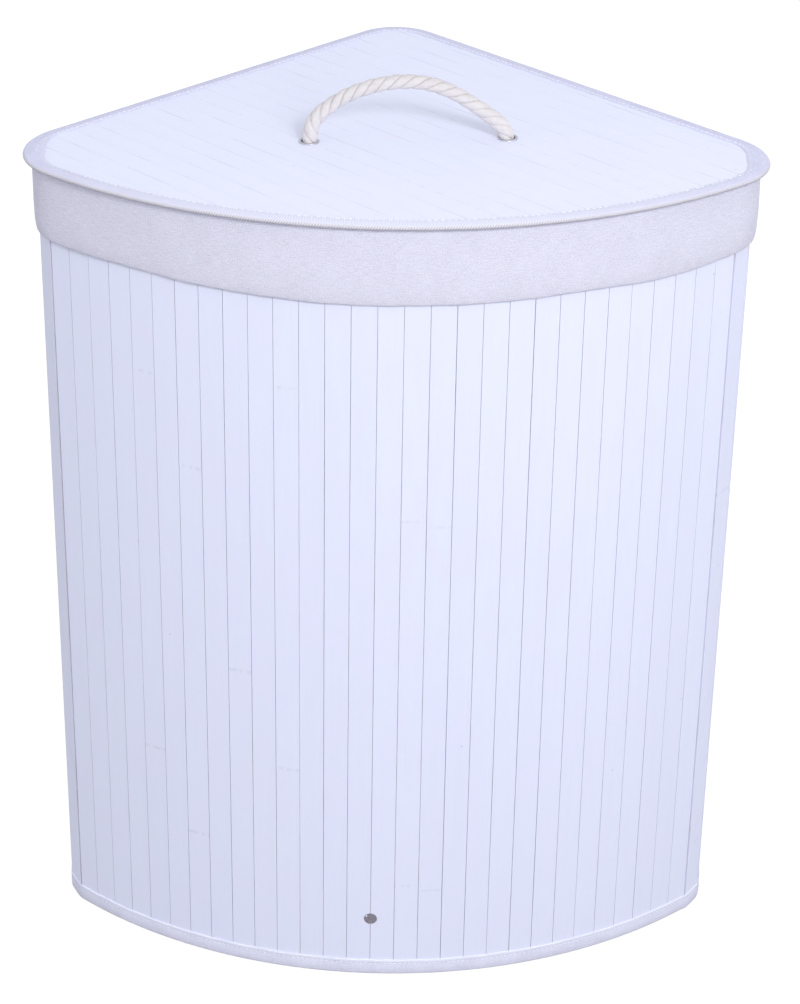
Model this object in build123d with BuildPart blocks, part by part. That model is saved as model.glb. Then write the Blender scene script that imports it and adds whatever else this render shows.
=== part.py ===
from build123d import *

import os
from math import atan2, cos, degrees, radians, sin, sqrt, tan

# Overall sizes, in millimetres
BODY_WIDTH = 495.0          # across the wall slats, side to side
BODY_DEPTH = 371.8          # front of the arc to the rounded back corner
BODY_HEIGHT = 612.0         # floor to the top of the folded liner
BACK_CORNER_RADIUS = 26.0
SIDE_CORNER_RADIUS = 42.3

# Bamboo slats, the same stock for the wall, the base and the lid
SLAT_WIDTH = 17.1
SLAT_THICKNESS = 2.2
SLAT_EASE = 0.4             # planed edge along both outer corners
WALL_GAP = 0.5              # least gap between two wall slats
PANEL_GAP = 0.3             # gap between two slats of the lid or the base
SEAM_SHIFT = 11.5           # the front seam stands this far left of the middle

# Cloth, tape and wire
CLOTH = 0.6                 # cloth glued to the back of the slats
TAPE = 0.8                  # woven binding tape
LINER = 1.1                 # liner cloth
WIRE = 2.6                  # hoop wire in the rim of the wall and of the lid
FIT = 0.1                   # slack of tape and wire round what they hold

# Wall edges
RIM_TAPE_DROP = 16.0        # rim tape below the top of the slats
FOOT_TAPE_RISE = 13.0       # foot tape above the floor
FOOT_LIP = 12.0             # foot tape under the base, in from the wall
BASE_SLACK = 0.4            # base edge to wall cloth

# Liner
CUFF_STAND = 3.3            # cuff inside face, out from the wall slats
CUFF_DROP = 57.0            # folded cuff, top to hem
LINER_STAND = 3.2           # liner bag, in from the wall cloth
LINER_LIFT = 1.0            # liner bag above the base cloth

# Lid
LID_OVERHANG = 9.8          # lid edge past the wall slats
LID_REST = 0.3              # lid above the folded liner
LID_TAPE = 1.0              # heavier tape round the lid
LID_TAPE_WIDTH = 11.0       # tape on the top and on the underside
LID_FIRST_SEAM = 7.5        # first seam, in from the line of the right back wall

# Rope handle
ROPE = 9.4
ROPE_SLACK = 0.75           # eyelet bore round the rope, all round
EYELET_SPACING = 139.0
EYELET_FLANGE = 1.6
EYELET_WALL = 0.5
EYELET_RISE = 1.0
EYELET_EASE = 0.6           # sloped edge of the flange
WASHER_WIDTH = 2.2
WASHER = 0.7
HANDLE_MIDDLE = (8.1, -41.1)
HANDLE_TURN = 5.0           # degrees, right end towards the back
KNOT = 25.0
KNOT_HEIGHT = 18.0
KNOT_EASE = 5.0             # sloped edges of the knot
ROPE_POINTS = [             # along the eyelet line, and above the lid slats
    (-69.4, -12.0),
    (-69.4, 2.0),
    (-66.9, 15.0),
    (-57.5, 25.0),
    (-40.0, 35.5),
    (-18.0, 42.2),
    (6.0, 43.2),
    (26.0, 37.2),
    (46.0, 25.2),
    (65.2, 10.3),
    (69.7, 0.1),
    (69.7, -12.0),
]
RADIUS_SHARE = 0.45         # part of the shorter run that a bend takes up

# Flats that stand for a round section
WIRE_SIDES = 4
TAPE_BEND_SIDES = 8
ROPE_SIDES = 6
KNOT_SIDES = 12
EYELET_SIDES = 16
RIVET_SIDES = 16

# Front rivet
RIVET_HEAD = 10.5
RIVET_HEAD_THICKNESS = 1.2
RIVET_SHANK = 4.0
RIVET_HEIGHT = 51.0
RIVET_WASHER = 11.0
RIVET_SLACK = 0.1

# Plan outline: two straight back walls at a right angle, closed by a front arc
ROOT2 = sqrt(2)
FRONT_Y = -BODY_DEPTH / 2
APEX_Y = BODY_DEPTH / 2 + BACK_CORNER_RADIUS * (ROOT2 - 1)
BACK_CENTRE_Y = APEX_Y - ROOT2 * BACK_CORNER_RADIUS
SIDE_X = BODY_WIDTH / 2 - SIDE_CORNER_RADIUS
SIDE_Y = APEX_Y - SIDE_X - ROOT2 * SIDE_CORNER_RADIUS
SIDE_RISE = SIDE_Y - FRONT_Y
FRONT_RADIUS = (SIDE_X**2 + SIDE_RISE**2 - SIDE_CORNER_RADIUS**2) / (2 * (SIDE_RISE - SIDE_CORNER_RADIUS))
FRONT_CENTRE_Y = FRONT_Y + FRONT_RADIUS
FRONT_HALF_ANGLE = degrees(atan2(SIDE_X, FRONT_CENTRE_Y - SIDE_Y))
SIDE_ANGLE = 135 - FRONT_HALF_ANGLE

# Heights, from the floor up
SLAT_BOTTOM = TAPE
SLAT_TOP = BODY_HEIGHT - LINER - FIT - TAPE - FIT - WIRE - FIT
SLAT_LENGTH = SLAT_TOP - SLAT_BOTTOM
RIM_WIRE_Z = SLAT_TOP + FIT + WIRE / 2
BASE_CLOTH_Z = TAPE + SLAT_THICKNESS
LINER_BOTTOM = BASE_CLOTH_Z + CLOTH + LINER_LIFT
LINER_TOP = BODY_HEIGHT - LINER
CUFF_BOTTOM = BODY_HEIGHT - CUFF_DROP
LID_BOTTOM = BODY_HEIGHT + LID_REST
LID_CLOTH_Z = LID_BOTTOM + LID_TAPE
LID_SLAT_Z = LID_CLOTH_Z + CLOTH
LID_TOP = LID_SLAT_Z + SLAT_THICKNESS
LID_CORE = CLOTH + SLAT_THICKNESS
LID_MIDDLE_Z = LID_CLOTH_Z + LID_CORE / 2

# Distances out from the face of the wall slats, inwards below zero
CLOTH_OUT = -SLAT_THICKNESS
CLOTH_IN = CLOTH_OUT - CLOTH
LINER_OUT = CLOTH_IN - LINER_STAND
LINER_IN = LINER_OUT - LINER
LID_BEND = LID_OVERHANG - LID_TAPE - LID_CORE / 2
LID_WIRE = LID_CORE - 2 * FIT
LID_SLAT_EDGE = LID_BEND - LID_CORE / 2 - FIT


def plan(grow: float) -> Sketch:
    """The hamper's plan outline, grown outwards by that much, or inwards below zero."""
    with BuildSketch() as shape:
        with BuildLine():
            CenterArc((0, FRONT_CENTRE_Y), FRONT_RADIUS + grow, 270, FRONT_HALF_ANGLE)
            right = CenterArc(
                (SIDE_X, SIDE_Y), SIDE_CORNER_RADIUS + grow, FRONT_HALF_ANGLE - 90, SIDE_ANGLE
            )
            back = CenterArc((0, BACK_CENTRE_Y), BACK_CORNER_RADIUS + grow, 45, 90)
            left = CenterArc((-SIDE_X, SIDE_Y), SIDE_CORNER_RADIUS + grow, 135, SIDE_ANGLE)
            Line(right @ 1, back @ 0)
            Line(back @ 1, left @ 0)
            CenterArc((0, FRONT_CENTRE_Y), FRONT_RADIUS + grow, 270 - FRONT_HALF_ANGLE, FRONT_HALF_ANGLE)
        make_face()
    return shape.sketch


def wall_path() -> list[tuple[str, Edge]]:
    """The stretches of the wall's cloth line, with the name of the slats on each.

    They run from the front middle to the right and all the way round.
    """
    front_centre = (0, FRONT_CENTRE_Y)
    front_radius = FRONT_RADIUS + CLOTH_OUT
    side_radius = SIDE_CORNER_RADIUS + CLOTH_OUT
    with BuildLine():
        front_right = CenterArc(front_centre, front_radius, 270, FRONT_HALF_ANGLE)
        right = CenterArc((SIDE_X, SIDE_Y), side_radius, FRONT_HALF_ANGLE - 90, SIDE_ANGLE)
        back = CenterArc((0, BACK_CENTRE_Y), BACK_CORNER_RADIUS + CLOTH_OUT, 45, 90)
        left = CenterArc((-SIDE_X, SIDE_Y), side_radius, 135, SIDE_ANGLE)
        front_left = CenterArc(front_centre, front_radius, 270 - FRONT_HALF_ANGLE, FRONT_HALF_ANGLE)
        right_leg = Line(right @ 1, back @ 0)
        left_leg = Line(back @ 1, left @ 0)
    return [
        ("front_slats", front_right),
        ("right_corner_slats", right),
        ("right_back_slats", right_leg),
        ("back_corner_slats", back),
        ("left_back_slats", left_leg),
        ("left_corner_slats", left),
        ("front_slats", front_left),
    ]


WALL_PATH = wall_path()
WALL_ROUND = sum(stretch.length for _, stretch in WALL_PATH)
SLAT_COUNT = int(WALL_ROUND // (SLAT_WIDTH + WALL_GAP))
SLAT_PITCH = WALL_ROUND / SLAT_COUNT


def wall_spot(distance: float) -> tuple[str, Location]:
    """The slat group and the place on the wall's cloth, that far round from the front middle.

    The place's X axis runs along the wall and its Y axis points into the hamper.
    """
    rest = distance % WALL_ROUND
    for name, stretch in WALL_PATH:
        if rest <= stretch.length:
            break
        rest -= stretch.length
    share = min(rest / stretch.length, 1)
    along = stretch % share
    return name, Location(stretch @ share, (0, 0, degrees(atan2(along.Y, along.X))))


slat_spots = [wall_spot((count + 0.5) * SLAT_PITCH - SEAM_SHIFT) for count in range(SLAT_COUNT)]
slat_groups = {name: [spot for group, spot in slat_spots if group == name] for name, _ in WALL_PATH}


def taut_outline(stand: float) -> Sketch:
    """The outline of a tape drawn tight round the wall, that far out from the backs of the slats."""
    half = SLAT_WIDTH / 2
    with BuildSketch() as shape:
        with BuildLine():
            for _, spot in slat_spots:
                slat = Plane(spot)
                Line(slat.from_local_coords((-half, -stand)), slat.from_local_coords((half, -stand)))
        make_hull()
    return shape.sketch


def hoop_plane(out: float, height: float) -> Plane:
    """An upright plane across the front middle of an outline, with X pointing into the hamper."""
    return Plane((0, FRONT_Y - out, height), x_dir=(0, 1, 0), z_dir=(1, 0, 0))


def save(node: BuildPart, name: str) -> None:
    """Labels one finished piece and writes it under its name."""
    node.part.label = name
    export_step(node.part, f"parts/{name}.step")


os.makedirs("parts", exist_ok=True)
print(f"front radius {FRONT_RADIUS:.1f} mm, {SLAT_COUNT} wall slats at {SLAT_PITCH:.2f} mm")

# Tape drawn tight round the wall: its inner face and its outer face
tape_inside = taut_outline(SLAT_THICKNESS + FIT)
tape_outside = taut_outline(SLAT_THICKNESS + FIT + TAPE)

# Front rivet's place: on the front seam, flush with the slats
_, rivet_spot = wall_spot(-SEAM_SHIFT)
wall_plane = Plane(rivet_spot)
rivet_plane = Plane(
    wall_plane.origin - wall_plane.y_dir * SLAT_THICKNESS + Vector(0, 0, RIVET_HEIGHT),
    x_dir=wall_plane.x_dir,
    z_dir=-wall_plane.y_dir,
)

# One wall slat, seen on end, with its back on the X axis and its face below
with BuildSketch() as slat_end:
    Rectangle(SLAT_WIDTH, SLAT_THICKNESS, align=(Align.CENTER, Align.MAX))
    chamfer(slat_end.vertices().group_by(Axis.Y)[0], SLAT_EASE)

# Wall slats, one group for each stretch of the wall
for group_name, group_spots in slat_groups.items():
    with BuildPart() as wall_slats:
        with BuildSketch(Plane.XY.offset(SLAT_BOTTOM)):
            with Locations(*group_spots):
                add(slat_end.sketch)
        extrude(amount=SLAT_LENGTH)
        if group_name == "front_slats":
            with Locations(rivet_plane.location):
                CounterBoreHole(
                    RIVET_SHANK / 2 + RIVET_SLACK,
                    RIVET_HEAD / 2 + RIVET_SLACK,
                    RIVET_HEAD_THICKNESS,
                    SLAT_THICKNESS + RIVET_HEAD,
                )
    save(wall_slats, group_name)

# Cloth glued to the backs of the wall slats
with BuildPart() as wall_backing:
    with BuildSketch(Plane.XY.offset(SLAT_BOTTOM)):
        add(plan(CLOTH_OUT))
        add(plan(CLOTH_IN), mode=Mode.SUBTRACT)
    extrude(amount=SLAT_LENGTH)
    with Locations(rivet_plane.location):
        Hole(RIVET_SHANK / 2 + RIVET_SLACK, SLAT_THICKNESS + RIVET_HEAD)
save(wall_backing, "wall_backing")

# Hoop wire along the tops of the slats
RIM_WIRE_OUT = CLOTH_IN / 2
with BuildPart() as rim_wire:
    with BuildLine(Plane.XY.offset(RIM_WIRE_Z)):
        add(plan(RIM_WIRE_OUT).wire())
    with BuildSketch(hoop_plane(RIM_WIRE_OUT, RIM_WIRE_Z)):
        RegularPolygon(WIRE / 2, WIRE_SIDES)
    sweep()
save(rim_wire, "rim_wire")

# Tape folded over the wire and the slat tops
RIM_TAPE_Z = SLAT_TOP - RIM_TAPE_DROP
RIM_TAPE_HEIGHT = RIM_WIRE_Z + WIRE / 2 + FIT + TAPE - RIM_TAPE_Z
with BuildPart() as rim_binding:
    with BuildSketch(Plane.XY.offset(RIM_TAPE_Z)):
        add(tape_outside)
        add(plan(CLOTH_IN - FIT - TAPE), mode=Mode.SUBTRACT)
    extrude(amount=RIM_TAPE_HEIGHT)
    with BuildSketch(Plane.XY.offset(RIM_TAPE_Z)):
        add(tape_inside)
        add(plan(CLOTH_IN - FIT), mode=Mode.SUBTRACT)
    extrude(amount=RIM_TAPE_HEIGHT - TAPE, mode=Mode.SUBTRACT)
save(rim_binding, "rim_binding")

# Foot tape: up the outside of the slats, and in under the base
with BuildPart() as foot_binding:
    with BuildSketch():
        add(tape_outside)
        add(tape_inside, mode=Mode.SUBTRACT)
    extrude(amount=FOOT_TAPE_RISE)
    with BuildSketch():
        add(tape_outside)
        add(plan(CLOTH_IN - FOOT_LIP), mode=Mode.SUBTRACT)
    extrude(amount=TAPE)
save(foot_binding, "foot_binding")

# Seams of the base and the lid, counted from the line of the right back wall
PANEL_PITCH = SLAT_WIDTH + PANEL_GAP
PANEL_COUNT = int(2 * BODY_WIDTH / PANEL_PITCH)
PANEL_SEAMS = [(-LID_FIRST_SEAM - PANEL_PITCH * number, 0) for number in range(PANEL_COUNT)]


def seam_plane(height: float) -> Plane:
    """An upright plane across the seams of a flat panel, with Y up from that height."""
    return Plane((0, APEX_Y, height), x_dir=(1, 1, 0), z_dir=(1, -1, 0))


# Base slats, with their edge on the foot tape
BASE_EDGE = CLOTH_IN - BASE_SLACK
with BuildPart() as base_slats:
    with BuildSketch(Plane.XY.offset(TAPE)):
        add(plan(BASE_EDGE))
    extrude(amount=SLAT_THICKNESS)
    with BuildSketch(seam_plane(TAPE)):
        with Locations(*PANEL_SEAMS):
            Rectangle(PANEL_GAP, SLAT_THICKNESS, align=(Align.CENTER, Align.MIN))
    extrude(amount=BODY_WIDTH, both=True, mode=Mode.SUBTRACT)
save(base_slats, "base_slats")

# Cloth on the upper side of the base slats
with BuildPart() as base_backing:
    with BuildSketch(Plane.XY.offset(BASE_CLOTH_Z)):
        add(plan(BASE_EDGE))
    extrude(amount=CLOTH)
save(base_backing, "base_backing")

# Rivet through the front seam, its head flush with the slats and its tail in a washer
RIVET_GRIP = SLAT_THICKNESS + CLOTH + FIT + WASHER
with BuildPart() as front_rivet:
    with BuildSketch(rivet_plane):
        RegularPolygon(RIVET_HEAD / 2, RIVET_SIDES)
    extrude(amount=-RIVET_HEAD_THICKNESS)
    with BuildSketch(rivet_plane):
        RegularPolygon(RIVET_SHANK / 2, RIVET_SIDES)
    extrude(amount=-RIVET_GRIP)
save(front_rivet, "front_rivet")

with BuildPart() as rivet_washer:
    with BuildSketch(rivet_plane.offset(-RIVET_GRIP)):
        RegularPolygon(RIVET_WASHER / 2, RIVET_SIDES)
        RegularPolygon(RIVET_SHANK / 2 + RIVET_SLACK, RIVET_SIDES, mode=Mode.SUBTRACT)
    extrude(amount=WASHER)
save(rivet_washer, "rivet_washer")

# Liner: a cuff folded over the rim, and the bag that hangs from it inside
CUFF_OUT = CUFF_STAND + LINER
with BuildPart() as liner_cuff:
    with BuildSketch(Plane.XY.offset(CUFF_BOTTOM)):
        add(plan(CUFF_OUT))
        add(plan(CUFF_STAND), mode=Mode.SUBTRACT)
    extrude(amount=CUFF_DROP)
    with BuildSketch(Plane.XY.offset(LINER_TOP)):
        add(plan(CUFF_OUT))
        add(plan(LINER_IN), mode=Mode.SUBTRACT)
    extrude(amount=LINER)
save(liner_cuff, "liner_cuff")

with BuildPart() as liner_bag:
    with BuildSketch(Plane.XY.offset(LINER_BOTTOM)):
        add(plan(LINER_OUT))
    extrude(amount=LINER_TOP - LINER_BOTTOM)
    offset(amount=-LINER, openings=liner_bag.faces().sort_by(Axis.Z)[-1])
save(liner_bag, "liner_bag")

# Handle plane: X along the two eyelets, Y up, from the top of the lid slats
HANDLE_X = (cos(radians(HANDLE_TURN)), sin(radians(HANDLE_TURN)), 0)
handle_plane = Plane((*HANDLE_MIDDLE, LID_TOP), x_dir=HANDLE_X, z_dir=(HANDLE_X[1], -HANDLE_X[0], 0))
lid_top_plane = Plane((*HANDLE_MIDDLE, LID_TOP), x_dir=HANDLE_X)
EYELET_SPOTS = [(-EYELET_SPACING / 2, 0), (EYELET_SPACING / 2, 0)]
EYELET_BORE = ROPE / 2 + ROPE_SLACK
EYELET_BARREL = EYELET_BORE + EYELET_WALL
EYELET_HOLE = EYELET_BARREL + FIT

# Lid slats, parallel to the right back wall
with BuildPart() as lid_slats:
    with BuildSketch(Plane.XY.offset(LID_SLAT_Z)):
        add(plan(LID_SLAT_EDGE))
    extrude(amount=SLAT_THICKNESS)
    with BuildSketch(seam_plane(LID_SLAT_Z)):
        with Locations(*PANEL_SEAMS):
            Rectangle(PANEL_GAP, SLAT_THICKNESS, align=(Align.CENTER, Align.MIN))
            Polygon(
                (-PANEL_GAP / 2, SLAT_THICKNESS - SLAT_EASE),
                (PANEL_GAP / 2, SLAT_THICKNESS - SLAT_EASE),
                (PANEL_GAP / 2 + SLAT_EASE, SLAT_THICKNESS),
                (-PANEL_GAP / 2 - SLAT_EASE, SLAT_THICKNESS),
                align=None,
            )
    extrude(amount=BODY_WIDTH, both=True, mode=Mode.SUBTRACT)
    with Locations(lid_top_plane.location):
        with Locations(*EYELET_SPOTS):
            Hole(EYELET_HOLE, LID_CORE)
save(lid_slats, "lid_slats")

# Cloth on the underside of the lid slats
with BuildPart() as lid_backing:
    with BuildSketch(Plane.XY.offset(LID_CLOTH_Z)):
        add(plan(LID_SLAT_EDGE))
    extrude(amount=CLOTH)
    with Locations(lid_top_plane.location):
        with Locations(*EYELET_SPOTS):
            Hole(EYELET_HOLE, LID_CORE)
save(lid_backing, "lid_backing")

# Hoop wire round the edge of the lid
with BuildPart() as lid_wire:
    with BuildLine(Plane.XY.offset(LID_MIDDLE_Z)):
        add(plan(LID_BEND).wire())
    with BuildSketch(hoop_plane(LID_BEND, LID_MIDDLE_Z)):
        RegularPolygon(LID_WIRE / 2, WIRE_SIDES)
    sweep()
save(lid_wire, "lid_wire")

# Tape folded round the lid's wire, on to its top and its underside
LID_TAPE_BEND = LID_CORE / 2 + LID_TAPE
LID_TAPE_LEG = LID_TAPE_WIDTH - LID_TAPE_BEND
FROM_BEND = (Align.MIN, Align.CENTER)
with BuildPart() as lid_binding:
    with BuildLine(Plane.XY.offset(LID_MIDDLE_Z)):
        add(plan(LID_BEND).wire())
    with BuildSketch(hoop_plane(LID_BEND, LID_MIDDLE_Z)):
        RegularPolygon(LID_TAPE_BEND, TAPE_BEND_SIDES, major_radius=False, rotation=180 / TAPE_BEND_SIDES)
        Rectangle(LID_TAPE_LEG, 2 * LID_TAPE_BEND, align=FROM_BEND)
        with Locations((-LID_CORE / 2, 0)):
            Rectangle(LID_TAPE_WIDTH, LID_CORE, align=FROM_BEND, mode=Mode.SUBTRACT)
    sweep()
save(lid_binding, "lid_binding")

# Eyelets: a barrel through the lid, with a sloped flange on top
with BuildPart() as eyelets:
    with BuildSketch(lid_top_plane):
        with Locations(*EYELET_SPOTS):
            RegularPolygon(EYELET_BARREL + EYELET_FLANGE, EYELET_SIDES)
    extrude(amount=EYELET_RISE)
    chamfer(eyelets.edges().group_by(Axis.Z)[-1], EYELET_EASE)
    with BuildSketch(lid_top_plane.offset(-LID_CORE - WASHER)):
        with Locations(*EYELET_SPOTS):
            RegularPolygon(EYELET_BARREL, EYELET_SIDES)
    extrude(amount=LID_CORE + WASHER)
    with BuildSketch(lid_top_plane.offset(EYELET_RISE)):
        with Locations(*EYELET_SPOTS):
            RegularPolygon(EYELET_BORE, EYELET_SIDES)
    extrude(amount=-LID_CORE - WASHER - EYELET_RISE, mode=Mode.SUBTRACT)
save(eyelets, "eyelets")

with BuildPart() as eyelet_washers:
    with BuildSketch(lid_top_plane.offset(-LID_CORE)):
        with Locations(*EYELET_SPOTS):
            RegularPolygon(EYELET_BARREL + WASHER_WIDTH, EYELET_SIDES)
            RegularPolygon(EYELET_HOLE, EYELET_SIDES, mode=Mode.SUBTRACT)
    extrude(amount=-WASHER)
save(eyelet_washers, "eyelet_washers")


def bend_radii(points: list[tuple[float, float]]) -> list[float]:
    """The radius at each bend of a route, as large as the two runs beside it allow."""
    radii = []
    for before, here, after in zip(points, points[1:], points[2:]):
        run_in = Vector(*here) - Vector(*before)
        run_out = Vector(*after) - Vector(*here)
        half_turn = radians(run_in.get_angle(run_out)) / 2
        radii.append(RADIUS_SHARE * min(run_in.length, run_out.length) / tan(half_turn))
    return radii


# Rope: up through the left eyelet, over in an arch and down through the right one
rope_radii = bend_radii(ROPE_POINTS)
print("rope bend radii", [round(radius, 1) for radius in rope_radii])
with BuildPart() as rope_handle:
    with BuildLine(handle_plane):
        rope_path = FilletPolyline(*ROPE_POINTS, radius=rope_radii)
    with BuildSketch(Plane(rope_path @ 0, x_dir=HANDLE_X, z_dir=rope_path % 0)):
        RegularPolygon(ROPE / 2, ROPE_SIDES)
    sweep()
rope_length = rope_path.length
print(f"rope {rope_length:.1f} mm, volume {rope_handle.part.volume / rope_length:.2f} a mm of length")
save(rope_handle, "rope_handle")

# Knots that stop the rope's ends under the lid
with BuildPart() as rope_knots:
    with BuildSketch(lid_top_plane.offset(ROPE_POINTS[0][1])):
        with Locations((ROPE_POINTS[0][0], 0), (ROPE_POINTS[-1][0], 0)):
            RegularPolygon(KNOT / 2, KNOT_SIDES)
    extrude(amount=-KNOT_HEIGHT)
    chamfer(rope_knots.edges().filter_by(Axis.Z, reverse=True), KNOT_EASE)
save(rope_knots, "rope_knots")
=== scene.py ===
"""White corner laundry hamper: a slatted wall, a cloth liner turned over the rim and a lid with a rope handle."""

import logging
import math
import random
from dataclasses import dataclass, field
from enum import Enum
from typing import Callable, Iterator, Optional, Sequence, Union

import bmesh
import bpy
from bmesh.types import BMEdge, BMesh, BMVert
from mathutils import Matrix, Vector, noise


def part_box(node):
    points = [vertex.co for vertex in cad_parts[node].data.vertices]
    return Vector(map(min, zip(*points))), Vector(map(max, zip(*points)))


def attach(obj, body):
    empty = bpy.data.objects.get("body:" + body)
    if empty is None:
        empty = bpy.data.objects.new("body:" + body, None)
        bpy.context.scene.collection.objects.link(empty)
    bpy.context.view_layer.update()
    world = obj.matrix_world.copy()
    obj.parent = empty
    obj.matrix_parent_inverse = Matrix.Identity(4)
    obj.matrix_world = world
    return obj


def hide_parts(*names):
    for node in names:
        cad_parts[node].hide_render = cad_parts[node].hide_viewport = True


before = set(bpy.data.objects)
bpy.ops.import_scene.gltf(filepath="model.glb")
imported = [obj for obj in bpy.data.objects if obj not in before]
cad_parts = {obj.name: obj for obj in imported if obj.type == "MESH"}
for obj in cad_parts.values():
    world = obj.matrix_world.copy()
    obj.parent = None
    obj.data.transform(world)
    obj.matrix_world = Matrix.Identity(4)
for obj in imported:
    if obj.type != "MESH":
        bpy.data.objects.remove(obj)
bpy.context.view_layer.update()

LOG = logging.getLogger("hamper")
MM = 0.001
UP = Vector((0.0, 0.0, 1.0))
UV_NAME = "UVMap"
TONE_NAME = "tone"
# layer that places painted shade in the grooves between the tape's ribs
GROOVE_SHADE_NAME = "groove"
# layer that makes the lid's tape paler along the front
PALER_AT_FRONT_NAME = "faded"
MERGE = 0.002 * MM

Colour = tuple[float, float, float]
Outline = Sequence[tuple[float, float]]


class Body(Enum):
    """The two halves that part when the lid is lifted."""

    BASKET = "basket"
    LID = "lid"


class Slot(Enum):
    """The record's material slots."""

    SLATS = "painted_slats"
    BACKING = "backing_cloth"
    TAPE = "binding_tape"
    LINER = "liner_cloth"
    ROPE = "cotton_rope"
    WIRE = "hoop_wire"
    NICKEL = "eyelet_nickel"
    STEEL = "rivet_steel"


class Socket:
    """An output socket of a finish's nodes that takes part in Python arithmetic."""

    def __init__(self, tree: "Tree", link: bpy.types.NodeSocket) -> None:
        """Keeps the tree and the socket that this stands for."""
        self.tree = tree
        self.link = link

    def math(self, operation: str, *others: "Value") -> "Socket":
        """Adds a Math node that works on this socket and any others, in order."""
        return self.tree.math(operation, self, *others)

    def __add__(self, other: "Value") -> "Socket":
        """Adds a value or socket."""
        return self.math("ADD", other)

    def __radd__(self, other: "Value") -> "Socket":
        """Adds this socket to a value."""
        return self.math("ADD", other)

    def __sub__(self, other: "Value") -> "Socket":
        """Takes a value or socket away."""
        return self.math("SUBTRACT", other)

    def __rsub__(self, other: "Value") -> "Socket":
        """Takes this socket away from a value."""
        return self.tree.math("SUBTRACT", other, self)

    def __mul__(self, other: "Value") -> "Socket":
        """Multiplies by a value or socket."""
        return self.math("MULTIPLY", other)

    def __rmul__(self, other: "Value") -> "Socket":
        """Multiplies a value by this socket."""
        return self.math("MULTIPLY", other)

    def step(self, low: float, high: float) -> "Socket":
        """Rises smoothly from 0 at low to 1 at high."""
        sockets = {"Value": self, "From Min": low, "From Max": high}
        return self.tree.node("ShaderNodeMapRange", {"interpolation_type": "SMOOTHSTEP"}, sockets)


Value = Union[float, Socket]


class Tree:
    """The nodes of one material, built up around its surface shader."""

    def __init__(self, name: str) -> None:
        """Starts an empty node tree.

        Args:
            name: the material's name.
        """
        self.material = bpy.data.materials.new(name)
        self.material.use_nodes = True
        self.nodes = self.material.node_tree.nodes
        self.links = self.material.node_tree.links
        self.nodes.clear()

    def node(
        self,
        kind: str,
        settings: Optional[dict] = None,
        sockets: Optional[dict] = None,
        output: Union[int, str] = 0,
    ) -> Socket:
        """Adds a node, sets it up and joins its inputs.

        Args:
            kind: the node's type.
            settings: properties that are set before the sockets are touched.
            sockets: values or links by the input's name or number.
            output: name or number of the output that is wanted.

        Returns:
            The wanted output.
        """
        made = self.nodes.new(kind)
        for key, value in (settings or {}).items():
            setattr(made, key, value)
        for key, value in (sockets or {}).items():
            if isinstance(value, Socket):
                self.links.new(value.link, made.inputs[key])
            else:
                made.inputs[key].default_value = value
        return Socket(self, made.outputs[output])

    def math(self, operation: str, *values: Value) -> Socket:
        """Adds a Math node."""
        return self.node("ShaderNodeMath", {"operation": operation}, dict(enumerate(values)))

    def uv(self) -> tuple[Socket, Socket]:
        """Gives the two halves of the piece's own map, in metres along the surface."""
        flat = self.node("ShaderNodeUVMap", {"uv_map": UV_NAME})
        parts = self.node("ShaderNodeSeparateXYZ", None, {"Vector": flat})
        return parts, Socket(self, parts.link.node.outputs[1])

    def place(self) -> Socket:
        """Gives the Object coordinates."""
        return self.node("ShaderNodeTexCoord", None, None, "Object")

    def vector(self, x: Value, y: Value, z: Value = 0.0) -> Socket:
        """Joins three values to a vector."""
        return self.node("ShaderNodeCombineXYZ", None, {"X": x, "Y": y, "Z": z})

    def speckle(self, where: Socket, scale: float, detail: float = 2.0) -> Socket:
        """Gives a soft noise between about 0.2 and 0.8."""
        return self.node("ShaderNodeTexNoise", None, {"Vector": where, "Scale": scale, "Detail": detail})

    def mix(self, share: Value, first: Union[Colour, Socket], second: Union[Colour, Socket]) -> Socket:
        """Blends two colours."""
        pair = [c if isinstance(c, Socket) else (*c, 1.0) for c in (first, second)]
        settings = {"data_type": "RGBA", "clamp_factor": True}
        return self.node("ShaderNodeMix", settings, {0: share, 6: pair[0], 7: pair[1]}, 2)

    def bump(self, height: Socket, depth: float, strength: float = 1.0) -> Socket:
        """Turns a height between 0 and 1 into a normal."""
        return self.node("ShaderNodeBump", None, {"Height": height, "Distance": depth, "Strength": strength})

    def close(self, sockets: dict) -> bpy.types.Material:
        """Adds the surface shader and the output.

        Args:
            sockets: values or links for the surface shader's inputs.

        Returns:
            The finished material.
        """
        self.out(self.node("ShaderNodeBsdfPrincipled", None, sockets))
        return self.material

    def out(self, surface: Socket) -> None:
        """Joins a shader to the material's output."""
        end = self.nodes.new("ShaderNodeOutputMaterial")
        self.links.new(surface.link, end.inputs["Surface"])


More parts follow.
